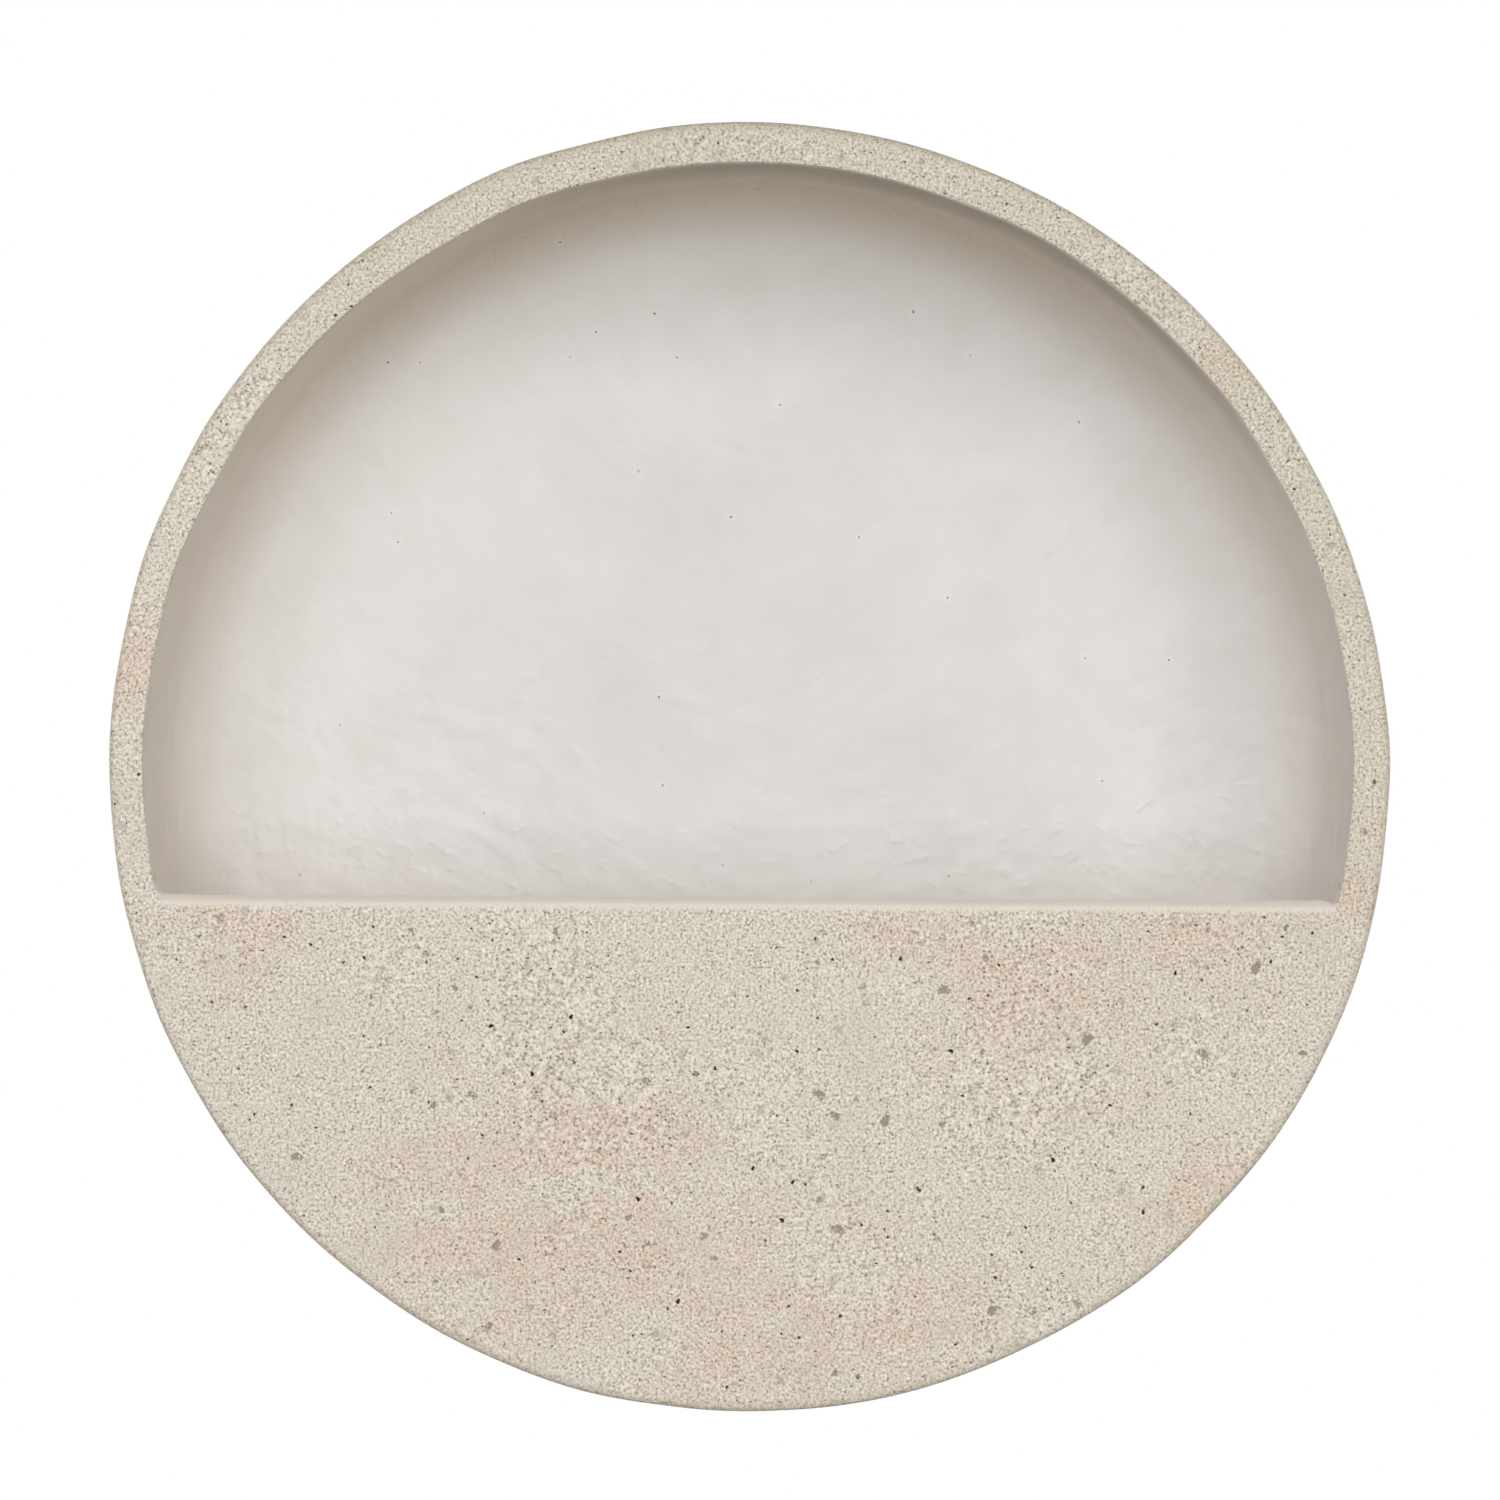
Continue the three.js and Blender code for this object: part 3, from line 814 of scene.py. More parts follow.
# The clearest pinholes, as pixels of the photograph.
PINHOLES_PX = ((391, 513), (398, 542), (659, 697), (731, 517), (859, 537), (1079, 422), (1085, 658))
PINHOLES_PX += ((1169, 660), (1102, 781), (560, 241), (457, 260), (570, 357), (780, 405), (596, 332))
PINHOLES_PX += ((340, 725), (300, 875))
LAP_FROM_COVE = 10.0  # the lap of two brush coats on the right, in front of the cove
LAP_HALF_WIDTH = 2.8
LAP_HEIGHT = 0.5
FIBRE_HEIGHT = 0.11
HALO_HEIGHT = 0.08
LINING_SPACING = 1.6
LINING_LOW_SPACING = 3.4
LOW_LINING_Z = -52  # below this nothing of the lining shows from the front
PINHOLE_COUNT = 34
STRAND_COUNT = 230
LOW_BAND_SHARE = 0.82  # fibres that sank to the band above the pocket wall


def lining_marks(rng, inner):
    """Loose fibres and pinholes of the brushed coat, on the hollow laid out flat."""

    def pinhole(middle):
        return Spot(middle, rng.uniform(0.2, 0.34), 0.35, rng.uniform(0.3, 0.9), rng.uniform(0, 6))

    def allowed(points):
        s = np.hypot(*points.T)
        return (points[:, 1] > -40) & (s < inner.wall + 50)

    pins = [pinhole(seen_at(pixel, inner.back_y)) for pixel in PINHOLES_PX]
    pins += scatter(rng, PINHOLE_COUNT, (-200, -40), (200, 200), allowed, pinhole)
    strands = []
    while len(strands) < STRAND_COUNT:
        low_band = rng.random() < LOW_BAND_SHARE
        x = rng.uniform(-135, 135)
        start = np.array([x, -34 + rng.gamma(2.0, 5.0) if low_band else rng.uniform(-38, 150)])
        crowded = 0.25 + 0.75 * step(20, 70, abs(x) + 0.4 * x)
        if allowed(start[None])[0] and rng.random() < crowded:
            heading = x / 140 + rng.normal(0, 0.6)
            length = min(0.7 + rng.gamma(1.6, 0.7), 4.5)
            strands.append(strand(start, length, heading, rng.normal(0, 0.2)))
    return strands, pins


LINING_EDGE_Z = PANEL_TOP_Z - MOUTH_ARRIS - SEAT_GAP  # the straight part of the lining's front edge
LINING_OUT_Y = HOLLOW_FRONT_Y + SEAT_GAP
LINING_IN_Y = LINING_OUT_Y + LINING_T


def lining_edge(radius):
    """Angles and y of the lining's front edge, from the right end of its straight part over the top."""
    low = math.asin(LINING_EDGE_Z / radius)
    high = math.asin(LIP_BOTTOM_Z / radius)
    side = np.linspace(low, high, 5)
    top = np.linspace(high, math.pi - high, RING_STEPS + 1)
    angles = np.concatenate([side, top, math.pi - side[::-1]])
    y = np.where(np.arange(len(angles)) % (len(angles) - 5) < 5, LINING_OUT_Y, LIP_Y)
    return angles, y


def straight_edge(radius, y):
    x = math.sqrt(radius**2 - LINING_EDGE_Z**2)
    return upright(line((-x, LINING_EDGE_Z), (x, LINING_EDGE_Z), CHORD_STEPS), y)


def add_pocket_face(body, rng, radius, y, spacing):
    """The lining on the back of the pocket wall, or its outside."""
    edge = straight_edge(radius, y)[:, [0, 2]]
    low = low_angles(radius, LINING_EDGE_Z)
    body.cap([np.vstack([edge, polar(radius, low[-2:0:-1])])], spacing, rng, y)
    return low


def lining_relief(points, hollow, strands, pins):
    """Height of the brushed surface over the true one, and its marks."""
    s = np.hypot(*points.T)
    lean = points[:, 0] / 150 + 0.4 * ripple(points, 90, 41, 12)
    along = points[:, 0] * np.cos(lean) + points[:, 1] * np.sin(lean)
    across = points[:, 1] * np.cos(lean) - points[:, 0] * np.sin(lean)
    rough = 0.6 + 0.4 * step(45, -10, points[:, 1])
    brush = rough * 0.075 * ripple(np.c_[along / 4, across], 6.0, 42, 60)
    sag = 0.10 * ripple(points, 38, 43) + rough * 0.06 * ripple(points, 8, 44, 50)
    near = nearest(points, np.vstack(strands))
    fibre = np.clip(1 - (near / STRAND_HALF_WIDTH) ** 2, 0, 1) ** 0.7
    depth, tone = spotted(points, pins)
    halo = np.zeros(len(points))
    for pin in pins:
        away = np.hypot(*(points - pin.middle).T)
        halo = np.maximum(halo, np.exp(-((away / (3.2 * pin.radius)) ** 2)))
    turn = np.degrees(np.arctan2(points[:, 1], points[:, 0]))
    off_lap = s - hollow.wall - LAP_FROM_COVE - np.clip(-points[:, 1], 0, 30)
    lap = np.exp(-((off_lap / LAP_HALF_WIDTH) ** 2)) * step(24, 10, np.abs(turn + 3))
    height = brush + sag + FIBRE_HEIGHT * fibre + HALO_HEIGHT * halo + LAP_HEIGHT * lap - depth
    return height, dict(strand=fibre, pin=tone, halo=halo)


def lining():
    rng = np.random.default_rng(22)
    body = Surface()
    back_in = lining_high[1] - LINING_T
    inner = Hollow(MOUTH_R, back_in, COVE_R)
    outer = Hollow(MOUTH_R + LINING_T, lining_high[1], COVE_R + LINING_T)

    low = add_pocket_face(body, rng, inner.radius, LINING_IN_Y, 6.0)
    angles, y = lining_edge(inner.radius)
    rim = np.vstack([inner.out_flat(angles, y), inner.out_flat(low, LINING_IN_Y)])
    drain = drain_loop(inner)
    strands, pins = lining_marks(rng, inner)
    details = [strand_points(path) for path in strands] + [pin.points() for pin in pins]
    finer = (lambda p: p[:, 1] > LOW_LINING_Z, LINING_SPACING)
    flat, faces = fill([rim, drain], LINING_LOW_SPACING, rng, details, finer)
    height, marks = lining_relief(flat, inner, strands, pins)
    body.add(inner.place(flat, height * off_rims(flat, [rim, drain], 3)), faces, **marks)

    low = add_pocket_face(body, rng, outer.radius, LINING_OUT_Y, HIDDEN_SPACING)
    out_angles, out_y = lining_edge(outer.radius)
    out_rim = np.vstack([outer.out_flat(out_angles, out_y), outer.out_flat(low[1:-1], LINING_OUT_Y)])
    flat, faces = fill([out_rim, drain_loop(outer)], HIDDEN_SPACING, rng)
    body.add(outer.place(flat), faces)

    round_in, round_out = upright(polar(inner.radius, angles), y), upright(polar(outer.radius, out_angles), out_y)
    edge_in = np.vstack([round_in, straight_edge(inner.radius, LINING_IN_Y)])
    body.bands([edge_in, np.vstack([round_out, straight_edge(outer.radius, LINING_OUT_Y)])])
    body.bands([drain_rim(inner.radius), drain_rim(outer.radius)])
    return body.piece("lining", settle)


# ---- metal and rubber pieces ----


BUNG_STEPS = 64
RIB_COUNT = 3
RIB_PITCH = 2.6
FIRST_RIB = 1.2  # over the flange
# The bung's outline as radii, with heights over its foot, over a rib's start and over its top.
FLANGE_OUTLINE = ((0, 0.7), (5.9, 0.7), (6.5, 0.35), (6.8, 0.05), (7.1, 0), (9.2, 0), (9.65, 0.12))
FLANGE_OUTLINE += ((9.93, 0.45), (FLANGE_R, 0.9), (FLANGE_R, FLANGE_T - 0.5), (9.85, FLANGE_T - 0.15))
FLANGE_OUTLINE += ((9.5, FLANGE_T), (5.3, FLANGE_T), (5.0, FLANGE_T + 0.3))
RIB_OUTLINE = ((5.0, 0), (5.5, 0.45), (5.6, 0.7), (5.52, 0.95), (5.0, 2.2))
TOP_OUTLINE = ((4.95, -1.2), (4.8, -0.7), (4.5, -0.25), (4.0, -0.05), (3.6, 0), (0, 0))


def drain_bung():
    first_rib = bung_low[2] + FLANGE_T + FIRST_RIB
    parts = [(FLANGE_OUTLINE, bung_low[2])]
    parts += [(RIB_OUTLINE, first_rib + RIB_PITCH * rib) for rib in range(RIB_COUNT)]
    parts += [(TOP_OUTLINE, bung_high[2])]
    body = Surface()
    profile = [(radius, start + z) for outline, start in parts for radius, z in outline]
    body.bands([level(circle(radius, BUNG_STEPS, (0, DRAIN_Y)), z) for radius, z in profile])
    return body.piece("bung")


KEYHOLE_R = 5.5
SLOT_HALF = 2.75
PLATE_T = 1.8
PLATE_BEVEL = 0.3
SCREW_R = 1.5
HEAD_R = 3.2
HEAD_Y = -SEAT_GAP
SCREW_TIP_Y = -9.5
RECESS = 1.1
THREAD_PITCH = 1.1
SCREW_STEPS = 40
COUNTERSINK_R = HEAD_R + 2 * SEAT_GAP
COUNTERSINK_STEPS = 32


def keyhole_loop(side, grow):
    x = side * HANGER_X
    r, half = KEYHOLE_R + grow, SLOT_HALF + grow
    meet = math.asin(half / r)
    entry = arc((x, WELL_LOW_Z), r, math.pi / 2 + meet, 2.5 * math.pi - meet, 40)
    slot = arc((x, WELL_HIGH_Z), half, 0, math.pi, 20)
    return np.vstack([entry, slot])


def keyhole_plate(side, name):
    rng = np.random.default_rng(50 + side)
    body = Surface()
    middles = screw_middles(side)
    edge_y = [0, -PLATE_BEVEL, PLATE_BEVEL - PLATE_T, -PLATE_T]
    grows = [PLATE_BEVEL, 0, 0, PLATE_BEVEL]
    body.bands([upright(seat_loop(side, -grow), y) for grow, y in zip(grows, edge_y)])
    body.bands([upright(keyhole_loop(side, grow), y) for grow, y in zip(grows, edge_y)])
    for middle in middles:
        cone = [(COUNTERSINK_R - depth, -depth) for depth in (0, 0.6, 1.2, PLATE_T)]
        body.bands([upright(circle(radius, COUNTERSINK_STEPS, middle), y) for radius, y in cone])
    for y in (0, -PLATE_T):
        holes = [circle(COUNTERSINK_R + y, COUNTERSINK_STEPS, middle) for middle in middles]
        body.cap([seat_loop(side, -PLATE_BEVEL), keyhole_loop(side, PLATE_BEVEL)] + holes, 3.0, rng, y)
    return body.piece(name)


def cross_loop(middle, half_width, half_span):
    """A screw's cross recess, as the twelve corners of its outline."""
    w, s = half_width, half_span
    quarter = np.array([(s, -w), (s, w), (w, w)])
    loops = []
    for k in range(4):
        c, d = math.cos(k * math.pi / 2), math.sin(k * math.pi / 2)
        loops.append(quarter @ np.array([[c, d], [-d, c]]))
    return np.vstack(loops) + middle


def plate_screw(middle, name):
    rng = np.random.default_rng(60)
    body = Surface()
    top, low = cross_loop(middle, 0.4, 1.7), cross_loop(middle, 0.25, 1.0)

    def ring(radius, y):
        return upright(circle(radius, SCREW_STEPS, middle), y)

    body.cap([circle(HEAD_R - 0.15, SCREW_STEPS, middle), top], 1.2, rng, HEAD_Y)
    body.bands([upright(top, HEAD_Y), upright(low, HEAD_Y - RECESS)])
    body.cap([low], 1.2, rng, HEAD_Y - RECESS)
    neck = ring(SCREW_R, HEAD_Y - 1.7)
    body.bands([ring(HEAD_R - 0.15, HEAD_Y), ring(HEAD_R, HEAD_Y - 0.12), ring(HEAD_R, HEAD_Y - 0.25), neck])
    angle = np.linspace(0, 2 * math.pi, SCREW_STEPS, endpoint=False)
    loops = [neck]
    for y in np.arange(HEAD_Y - 2.0, SCREW_TIP_Y, -0.16):
        taper = min(1.0, (y - SCREW_TIP_Y) / 1.6 + 0.12)
        reach = taper * (1.33 + 0.17 * np.cos(angle - 2 * math.pi * y / THREAD_PITCH))
        loops.append(upright(middle + polar(reach, angle), y))
    loops.append(ring(0, SCREW_TIP_Y))
    body.bands(loops)
    return body.piece(name)


# ---- materials ----


def srgb(red, green, blue):
    """A colour as a picture shows it, from 0 to 255, in the linear units that a shader takes."""
    shares = [channel / 255 for channel in (red, green, blue)]
    return tuple(c / 12.92 if c <= 0.04045 else ((c + 0.055) / 1.055) ** 2.4 for c in shares) + (1.0,)


def apart(seed):
    """How far a pattern is moved, so that it doesn't match those with other seeds."""
    return seed, 0.37 * seed, 1.7 * seed


class Finish:
    """A material as a node graph. Lengths go in as millimetres."""

    def __init__(self, name):
        self.material = bpy.data.materials.new(name)
        self.material.use_nodes = True
        self.tree = self.material.node_tree
        self.shader = self.tree.nodes["Principled BSDF"]
        self.place = self.tree.nodes.new("ShaderNodeTexCoord").outputs["Object"]

    def node(self, kind, *inputs, **settings):
        node = self.tree.nodes.new("ShaderNode" + kind)
        for key, value in settings.items():
            setattr(node, key, value)
        for socket, value in inputs:
            self.feed(node.inputs[socket], value)
        return node

    def feed(self, socket, value):
        if isinstance(value, bpy.types.NodeSocket):
            self.tree.links.new(value, socket)
        else:
            socket.default_value = value

    def math(self, operation, a, b=0.0):
        return self.node("Math", (0, a), (1, b), operation=operation).outputs[0]

    def times(self, *values):
        return reduce(lambda a, b: self.math("MULTIPLY", a, b), values)

    def plus(self, *values):
        return reduce(lambda a, b: self.math("ADD", a, b), values)

    def axes(self):
        """x, y, z and the distance from the y axis, in millimetres."""
        place = self.node("SeparateXYZ", (0, self.place)).outputs
        x, y, z = (self.math("DIVIDE", value, MM) for value in place)
        return x, y, z, self.math("SQRT", self.plus(self.times(x, x), self.times(z, z)))

    def span(self, value, low, high, to_low=0.0, to_high=1.0):
        """The value carried smoothly from one range to another, and held at its ends."""
        if low > high:
            low, high, to_low, to_high = high, low, to_high, to_low
        inputs = ((0, value), (1, low), (2, high), (3, to_low), (4, to_high))
        return self.node("MapRange", *inputs, interpolation_type="SMOOTHSTEP").outputs[0]

    def coat(self, colour, over, *shares, blend="MIX"):
        """A colour with another laid over it, by the product of the shares."""
        inputs = (0, self.times(*shares)), (6, colour), (7, over)
        return self.node("Mix", *inputs, data_type="RGBA", blend_type=blend).outputs[2]

    def ramp(self, value, *stops):
        node = self.node("ValToRGB", (0, value))
        elements = node.color_ramp.elements
        elements[0].position, elements[0].color = stops[0]
        elements[1].position, elements[1].color = stops[-1]
        for position, colour in stops[1:-1]:
            elements.new(position).color = colour
        return node.outputs[0]

    def noise(self, size, detail=2.0, stretch=(1, 1, 1), lean=0.0, warp=0.0, seed=0.0):
        """Smooth random values from 0 to 1, in lumps of a size that may be stretched and lean to a side."""
        inputs = (0, self.place), (1, apart(seed)), (2, (0, math.radians(lean), 0)), (3, stretch)
        place = self.node("Mapping", *inputs, vector_type="TEXTURE").outputs[0]
        inputs = (0, place), (2, 1 / (size * MM)), (3, detail), ("Distortion", warp)
        return self.node("TexNoise", *inputs).outputs[0]

    def cells(self, size, seed=0.0):
        """Random grains of a size: the distance to each grain's middle, and its own three random values."""
        place = self.node("Mapping", (0, self.place), (1, apart(seed)))
        node = self.node("TexVoronoi", (0, place.outputs[0]), (2, 1 / (size * MM)))
        return node.outputs["Distance"], self.node("SeparateXYZ", (0, node.outputs["Color"])).outputs

    def mark(self, name):
        return self.node("Attribute", attribute_name=name).outputs["Fac"]

    def bump(self, height, depth, under=None):
        """Bends the surface's normal by a height from 0 to 1 that stands for a depth in millimetres."""
        node = self.node("Bump", ("Height", height), ("Distance", depth * MM), ("Strength", 1.0))
        if under:
            self.feed(node.inputs["Normal"], under)
        return node.outputs[0]

    def finish(self, colour, roughness, normal, metal=0.0, specular=0.5):
        for socket, value in (("Base Color", colour), ("Roughness", roughness), ("Normal", normal)):
            self.feed(self.shader.inputs[socket], value)
        self.shader.inputs["Metallic"].default_value = metal
        self.shader.inputs["Specular IOR Level"].default_value = specular
        return self.material


SAND = srgb(223, 216, 201)
DEEP_SAND = srgb(211, 203, 187)
PALE_SAND = srgb(238, 232, 220)
PALE_GRAIN = srgb(250, 247, 240)
DULL_GRAIN = srgb(188, 179, 163)
DARK_GRAIN = srgb(160, 150, 133)
BROWN_FLECK = srgb(110, 98, 84)
BLACK_FLECK = srgb(44, 39, 34)
PIT_SHADE_GREY = srgb(158, 150, 137)
PEACH_TINT = srgb(255, 243, 241)
COOL_STONE = srgb(205, 199, 187)
ARRIS_TOP_SHADE = srgb(218, 206, 195)
ARRIS_HIGHLIGHT = srgb(229, 223, 211)
RIM_SHADE = srgb(186, 172, 152)
UPPER_RIGHT_SHADE = srgb(246, 246, 243)
LINING_WHITE = srgb(227, 224, 222)
LINING_PAINTED_LIGHT = srgb(240, 236, 232)
LINING_TAN = srgb(220, 204, 179)
LINING_SHADE = srgb(208, 200, 191)
FIBRE_AND_HALO_HIGHLIGHT = srgb(238, 234, 228)
PINHOLE_SHADE = srgb(98, 90, 81)
DULL_ZINC = srgb(128, 127, 124)
NYLON, NYLON_SHADE = srgb(206, 205, 200), srgb(180, 178, 170)
RUBBER, DUST = srgb(44, 43, 42), srgb(96, 92, 86)


# How the colour follows the fine noise of the sand, and the tone of a pit or a grain: pits are painted grey to
# dark as painted shade in their hollows, grains keep their own dark colour.
GRAIN_STOPS = ((0.22, BROWN_FLECK), (0.31, DARK_GRAIN), (0.385, DULL_GRAIN), (0.455, DEEP_SAND))
GRAIN_STOPS += ((0.54, SAND), (0.64, PALE_SAND), (0.75, PALE_GRAIN))
SPOT_STOPS = ((0.3, PIT_SHADE_GREY), (0.55, DARK_GRAIN), (0.75, BLACK_FLECK))
# How much each mark of the lining shows, and its colour: halos and fibres get a lighter white, painted highlight
# on their raised relief, and pinholes a dark brown, painted shade in the holes.
LINING_MARKS = (("halo", FIBRE_AND_HALO_HIGHLIGHT, 0.5), ("strand", FIBRE_AND_HALO_HIGHLIGHT, 0.3), ("pin", PINHOLE_SHADE, 0.95))
ZINC_STOPS = ((0, srgb(150, 152, 154)), (0.6, srgb(176, 178, 180)), (1, srgb(196, 198, 200)))
# Flecks: the size of their cells, their largest reach in one, the colour, the share of cells, the seed.
FLECKS = ((1.9, 0.15, BROWN_FLECK, 0.42, 7.0), (5.0, 0.075, BLACK_FLECK, 0.24, 9.0))


def lining_coat(paint, x, y, z, radius):
    """The coat's colour and how far a darker tan is laid over it, as painted shade and painted warm bounce light:
    0 on the back and up to 1 at the front, most on top and more on the left.
    """
    up = paint.times(z, paint.math("ABSOLUTE", z), 0.6 / MOUTH_R**2)
    by_place = paint.plus(up, paint.times(x, -0.12 / MOUTH_R), 0.45)
    uneven = paint.times(paint.plus(paint.noise(18, 3, seed=4.0), -0.5), 8)
    outward = paint.span(paint.plus(radius, uneven), 125, MOUTH_R)
    painted_tan_shade = paint.times(outward, paint.span(y, -25, -60, 0.75, 1), by_place)
    return paint.coat(LINING_WHITE, LINING_TAN, painted_tan_shade), painted_tan_shade


def sand(paint, fine):
    """Sand in warm and cool patches, with smudges and flecks, and the colours of the modelled spots."""
    colour = paint.ramp(fine, *GRAIN_STOPS)
    patch = paint.span(paint.noise(4.5, 3, seed=4.0), 0.3, 0.6, 0.25, 1)
    colour = paint.coat(colour, PEACH_TINT, paint.mark("tint"), patch, blend="MULTIPLY")
    colour = paint.coat(colour, COOL_STONE, paint.span(paint.noise(17, 3, seed=5.0), 0.5, 0.72, 0, 0.3))
    wobble = paint.plus(paint.noise(0.55, 1, seed=6.0), -0.5)
    smudge, random = paint.cells(6.0, seed=2.0)
    soft = paint.span(paint.plus(smudge, paint.times(wobble, 0.3)), 0.05, 0.24, 1, 0)
    colour = paint.coat(colour, DARK_GRAIN, soft, paint.span(random[0], 0.5, 0.8, 0, 0.5))
    for size, most, fleck, share, seed in FLECKS:
        away, random = paint.cells(size, seed)
        reach = paint.span(random[1], 1 - share, 1.0, 0.02, most)
        past = paint.plus(away, paint.times(wobble, 1 / size), paint.times(reach, -1))
        picked = paint.span(random[1], 1 - share, 1.05 - share, 0, 0.95)
        colour = paint.coat(colour, fleck, paint.span(past, -0.06 / size, 0.06 / size, 1, 0), picked)
    # Pits take painted shade in their hollows; dark grains keep their own colour.
    tone = paint.mark("tone")
    ragged = paint.span(paint.plus(tone, paint.times(wobble, 1.1)), 0.2, 0.45)
    return paint.coat(colour, paint.ramp(tone, *SPOT_STOPS), ragged, paint.span(tone, 0, 0.2))


def stone_finish():
    paint = Finish("cast_stone")
    x, y, z, radius = paint.axes()
    fine = paint.noise(0.66, 2.5, seed=1.0)
    near_rim = paint.span(radius, OUTER_R - 2.4, OUTER_R - 0.4, 0, 0.3)
    colour = paint.coat(sand(paint, fine), RIM_SHADE, near_rim)
    # Painted shade: the stone is darker towards the upper right.
    upper_right = paint.plus(paint.times(x, 0.6), paint.times(z, 1.3))
    colour = paint.coat(colour, UPPER_RIGHT_SHADE, paint.span(upper_right, -60, 200), blend="MULTIPLY")

    above, out, behind = paint.plus(z, -PANEL_TOP_Z), paint.plus(radius, -MOUTH_R), paint.plus(y, -FRONT_Y)
    near_front = paint.span(behind, 28, 18)
    lip = lining_coat(paint, x, y, z, radius)[0]
    # Colours round the window: the share, then start and end of the fade above, outside and behind its edge. The
    # pocket wall's front arris is painted as a lit band (painted highlight) with a pinkish band above it (painted
    # shade). The lining's coat, with its painted tan shade, laps onto the ring's inside. The lining's white laps
    # over the pocket wall's top face and also lightens that grazing-lit face as painted light.
    for over, share, *spans in (
        (ARRIS_HIGHLIGHT, 0.85, (-2.5, -0.8), (-0.2, -0.9), (-2, -1)),
        (ARRIS_TOP_SHADE, 0.9, (-0.8, 0), (-0.2, -0.9), (-2, -1)),
        (lip, 1.0, (0.5, 2.5), (1.1, 0.1), (0, 1.1)),
        (LINING_WHITE, 1.0, (-1.7, -0.5), (0.4, -0.5), (1.1, 1.8)),
    ):
        masks = [paint.span(value, *ends) for value, ends in zip((above, out, behind), spans)]
        colour = paint.coat(colour, over, share, near_front, *masks)

    normal = paint.bump(fine, 0.16)
    normal = paint.bump(paint.noise(0.4, 2, seed=8.0), 0.04, normal)
    roughness = paint.span(paint.noise(3.0, 2, seed=10.0), 0.3, 0.7, 0.84, 0.96)
    return paint.finish(colour, roughness, normal, specular=0.25)


def lining_finish():
    paint = Finish("lining")
    x, y, z, radius = paint.axes()
    colour, painted_tan_shade = lining_coat(paint, x, y, z, radius)
    # Painted shade: the top of the wall near the front is darkened, where light from above doesn't reach.
    painted_top_shade = paint.span(paint.plus(z, paint.times(x, 0.35)), 95, 150)
    colour = paint.coat(colour, DARK_GRAIN, painted_top_shade, paint.span(y, -30, -75), 0.9)
    # Painted light: the lining is lightened low down, just above the pocket wall, against that wall's shadow.
    colour = paint.coat(colour, LINING_PAINTED_LIGHT, paint.span(z, -18, -34), paint.span(radius, 134, 124))
    left, right = (paint.noise(4.6, 1.4, (1.7, 1, 1), lean, warp=0.5, seed=6.0) for lean in (34, -34))
    streaks = paint.node("Mix", (0, paint.span(x, -60, 60)), (2, left), (3, right)).outputs[0]
    blotch = paint.noise(26, 4, warp=0.8, seed=8.0)
    colour = paint.coat(colour, LINING_SHADE, paint.span(streaks, 0.35, 0.7, 0, 0.10))
    colour = paint.coat(colour, LINING_SHADE, paint.span(blotch, 0.45, 0.75, 0, 0.08))
    # Dark grit specks, laid only where the tan is, also darken the front walls as painted shade.
    grit = paint.span(paint.noise(1.3, 2, seed=12.0), 0.60, 0.74, 0, 0.5)
    colour = paint.coat(colour, DARK_GRAIN, grit, paint.span(painted_tan_shade, 0.4, 0.9))
    # Halos and fibres lighter as painted highlight, pinholes dark as painted shade.
    for name, over, share in LINING_MARKS:
        colour = paint.coat(colour, over, paint.mark(name), share)
    aside = paint.plus(paint.math("ABSOLUTE", x), paint.times(z, -1.2))
    normal = paint.bump(paint.times(streaks, paint.span(aside, 20, 140, 0.25, 1)), 0.46)
    normal = paint.bump(paint.noise(0.9, 2, seed=2.0), 0.02, normal)
    return paint.finish(colour, paint.span(blotch, 0.3, 0.7, 0.48, 0.62), normal, specular=0.4)


def steel_finish():
    paint = Finish("zinc_steel")
    spangle = paint.cells(3.2)[1][0]
    colour = paint.ramp(spangle, *ZINC_STOPS)
    scratch = paint.noise(0.5, 2, stretch=(1, 1, 30), seed=2.0)
    dull = paint.span(paint.noise(9, 4, seed=3.0), 0.5, 0.72, 0, 0.5)
    roughness = paint.plus(paint.span(scratch, 0.3, 0.7, 0.28, 0.42), paint.times(dull, 0.3))
    return paint.finish(paint.coat(colour, DULL_ZINC, dull), roughness, paint.bump(scratch, 0.015), metal=1.0)


def nylon_finish():
    paint = Finish("nylon")
    colour = paint.coat(NYLON, NYLON_SHADE, paint.span(paint.noise(4, 3), 0.35, 0.7, 0, 0.5))
    grain = paint.noise(0.4, 2, seed=2.0)
    return paint.finish(colour, paint.span(grain, 0.3, 0.7, 0.45, 0.6), paint.bump(grain, 0.02))


def rubber_finish():
    paint = Finish("rubber")
    dust = paint.span(paint.noise(3.5, 4, seed=2.0), 0.5, 0.75, 0, 0.4)
    grain = paint.noise(0.35, 3, seed=5.0)
    roughness = paint.plus(paint.span(grain, 0.3, 0.7, 0.55, 0.7), paint.times(dust, 0.3))
    return paint.finish(paint.coat(RUBBER, DUST, dust), roughness, paint.bump(grain, 0.03), specular=0.35)


# ---- the pieces and what they ride on ----


materials = {
    "cast_stone": stone_finish(),
    "lining": lining_finish(),
    "zinc_steel": steel_finish(),
    "rubber": rubber_finish(),
}
nylon = nylon_finish()


def dress(piece, slot, body, *nodes):
    """Gives a piece the material of its slot and a body to ride on, and hides the CAD nodes that it replaces."""
    piece.data.materials.append(materials[slot])
    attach(piece, body)
    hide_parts(*nodes)


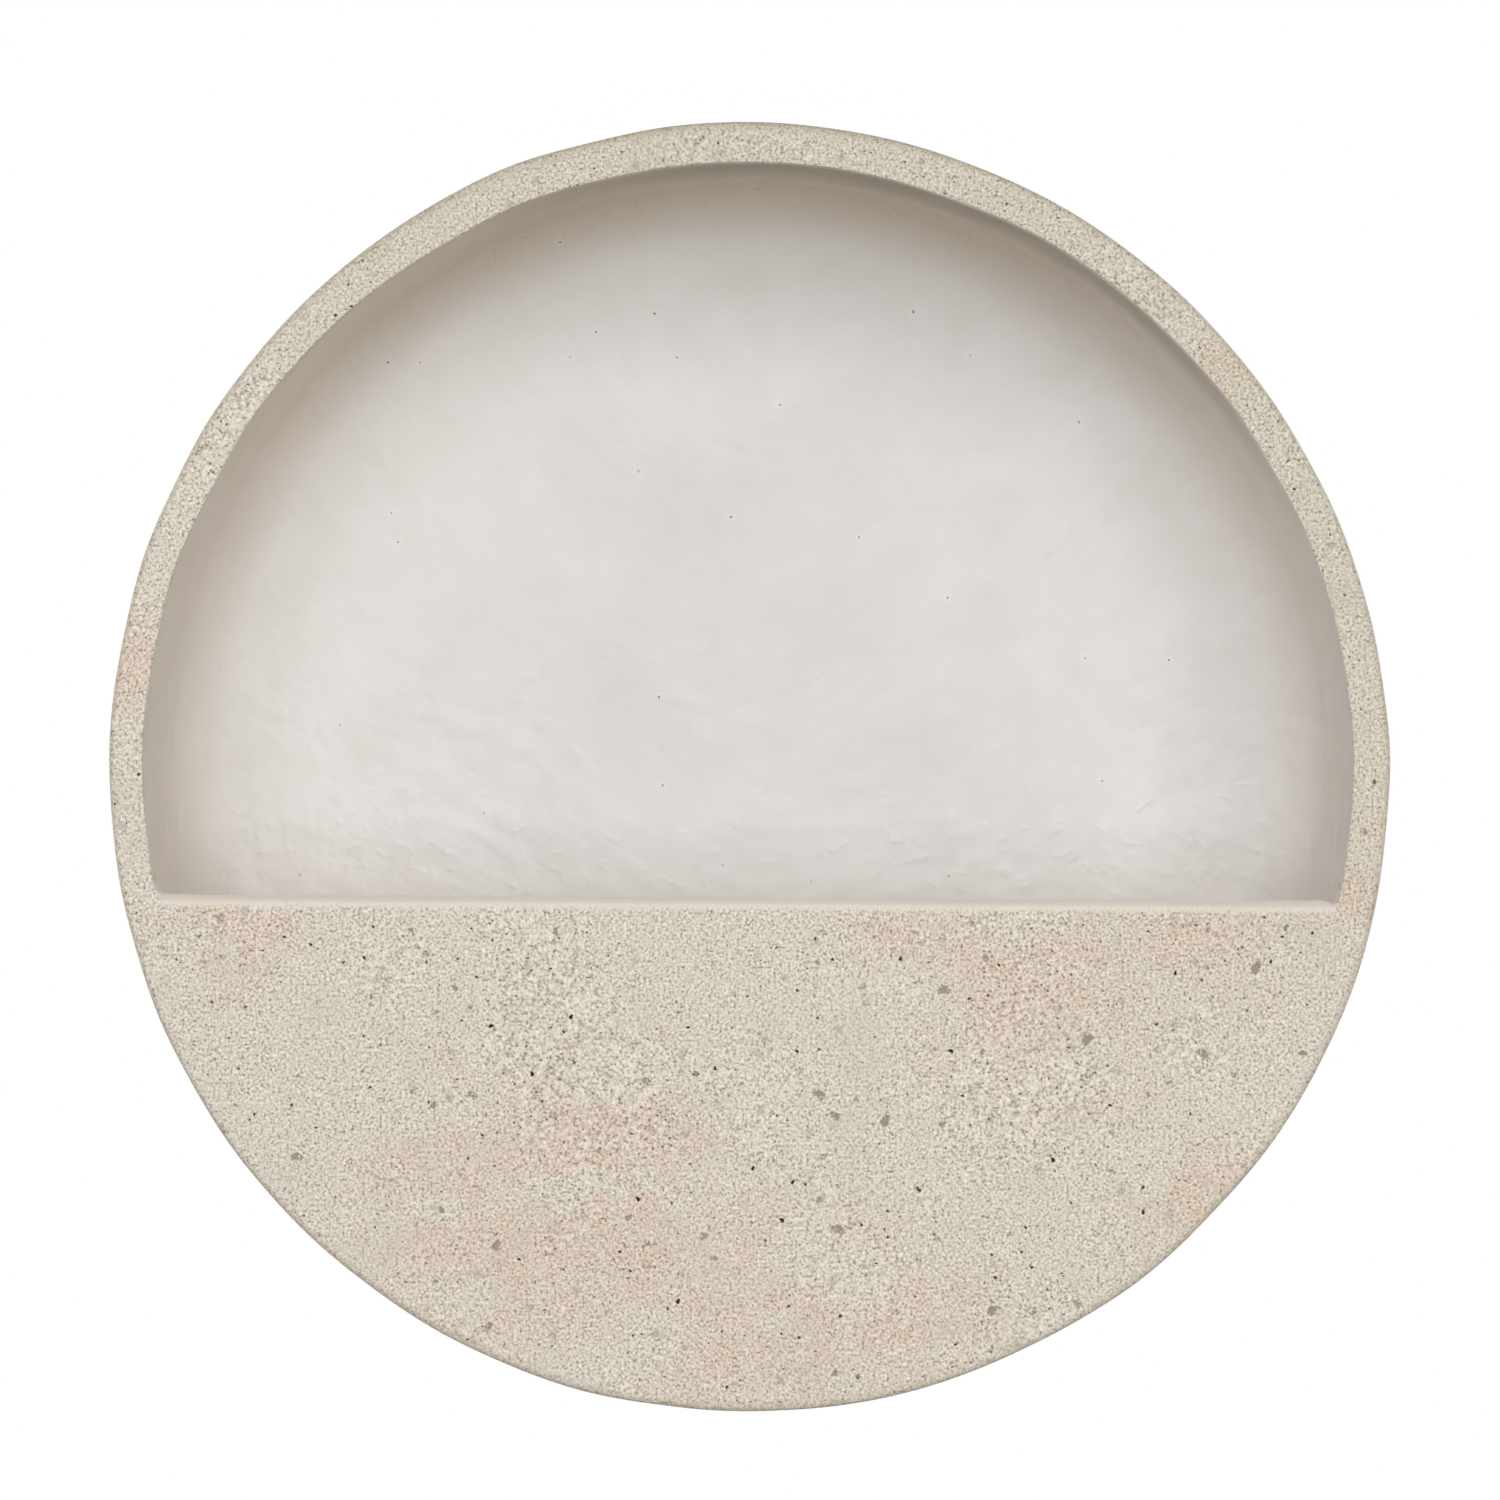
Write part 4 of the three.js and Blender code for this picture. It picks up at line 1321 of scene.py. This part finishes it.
dress(casting(), "cast_stone", "planter", "cast_body")
dress(lining(), "lining", "planter", "pocket_lining")
dress(drain_bung(), "rubber", "bung", "drain_bung")
for side, word in ((-1, "left"), (1, "right")):
    dress(keyhole_plate(side, f"plate_{word}"), "zinc_steel", "planter", f"keyhole_plate_{word}")
    for middle, end in zip(screw_middles(side), ("lower", "upper")):
        screw = plate_screw(middle, f"screw_{word}_{end}")
        dress(screw, "zinc_steel", "planter", f"plate_screw_{word}_{end}")
        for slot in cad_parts[f"screw_anchor_{word}_{end}"].material_slots:
            slot.material = nylon

# ---- floor, background and light ----

FLOOR_Z = -1.3
FLOOR_HALF = 8.0
FLOOR_COLOUR = srgb(140, 139, 137)
FILL_STRENGTH = 0.04
LAMPS_AWAY = 3.0
# Name, degrees round to the right of the front, degrees above the horizon, size in metres, power.
LAMPS = (
    ("key", 2.2, 11.0, (3.3, 2.5), 84.0),
    ("left", -66.0, 10.0, (1.2, 1.4), 16.5),
    ("right", 66.0, 10.0, (1.2, 1.4), 16.5),
    ("rear_left", -130.0, 18.0, (1.6, 1.6), 52.0),
    ("rear_right", 130.0, 18.0, (1.6, 1.6), 52.0),
)


def white_to_camera(tree, plain, target):
    """Pure white for the camera, in reflections and through glass, and the plain shader for other rays."""
    path = tree.nodes.new("ShaderNodeLightPath")
    seen = path.outputs["Is Camera Ray"]
    for name in ("Is Glossy Ray", "Is Transmission Ray"):
        either = tree.nodes.new("ShaderNodeMath")
        either.operation = "MAXIMUM"
        tree.links.new(seen, either.inputs[0])
        tree.links.new(path.outputs[name], either.inputs[1])
        seen = either.outputs[0]
    kind = "Emission" if target.node.type == "OUTPUT_MATERIAL" else "Background"
    glow = tree.nodes.new("ShaderNode" + kind)
    glow.inputs["Color"].default_value = (1, 1, 1, 1)
    choose = tree.nodes.new("ShaderNodeMixShader")
    tree.links.new(seen, choose.inputs[0])
    tree.links.new(plain, choose.inputs[1])
    tree.links.new(glow.outputs[0], choose.inputs[2])
    tree.links.new(choose.outputs[0], target)


def make_floor():
    half = FLOOR_HALF
    mesh = bpy.data.meshes.new("floor")
    corners = [(x, y, FLOOR_Z) for x, y in ((-half, -half), (half, -half), (half, half), (-half, half))]
    mesh.from_pydata(corners, [], [(0, 1, 2, 3)])
    floor = put("floor", mesh)
    material = bpy.data.materials.new("floor")
    material.use_nodes = True
    tree = material.node_tree
    shader = tree.nodes["Principled BSDF"]
    shader.inputs["Base Color"].default_value = FLOOR_COLOUR
    shader.inputs["Roughness"].default_value = 0.9
    white_to_camera(tree, shader.outputs[0], tree.nodes["Material Output"].inputs["Surface"])
    mesh.materials.append(material)


def make_world():
    world = bpy.data.worlds.new("studio")
    world.use_nodes = True
    tree = world.node_tree
    plain = tree.nodes["Background"]
    plain.inputs["Color"].default_value = (1, 1, 1, 1)
    plain.inputs["Strength"].default_value = FILL_STRENGTH
    white_to_camera(tree, plain.outputs[0], tree.nodes["World Output"].inputs["Surface"])
    bpy.context.scene.world = world


def area_light(name, turn, rise, size, power):
    """A soft lamp that looks at the planter from an angle round it and an angle above the horizon."""
    data = bpy.data.lights.new(name, "AREA")
    data.shape = "RECTANGLE"
    data.size, data.size_y = size
    data.energy = power
    lamp = put(name, data)
    turn, rise = math.radians(turn), math.radians(rise)
    away = Vector((math.sin(turn) * math.cos(rise), -math.cos(turn) * math.cos(rise), math.sin(rise)))
    lamp.location = Vector((0, FRONT_Y * MM / 2, 0)) + away * LAMPS_AWAY
    lamp.rotation_euler = (-away).to_track_quat("-Z", "Y").to_euler()


make_floor()
make_world()
for lamp in LAMPS:
    area_light(*lamp)

bpy.context.scene.view_settings.view_transform = "Standard"
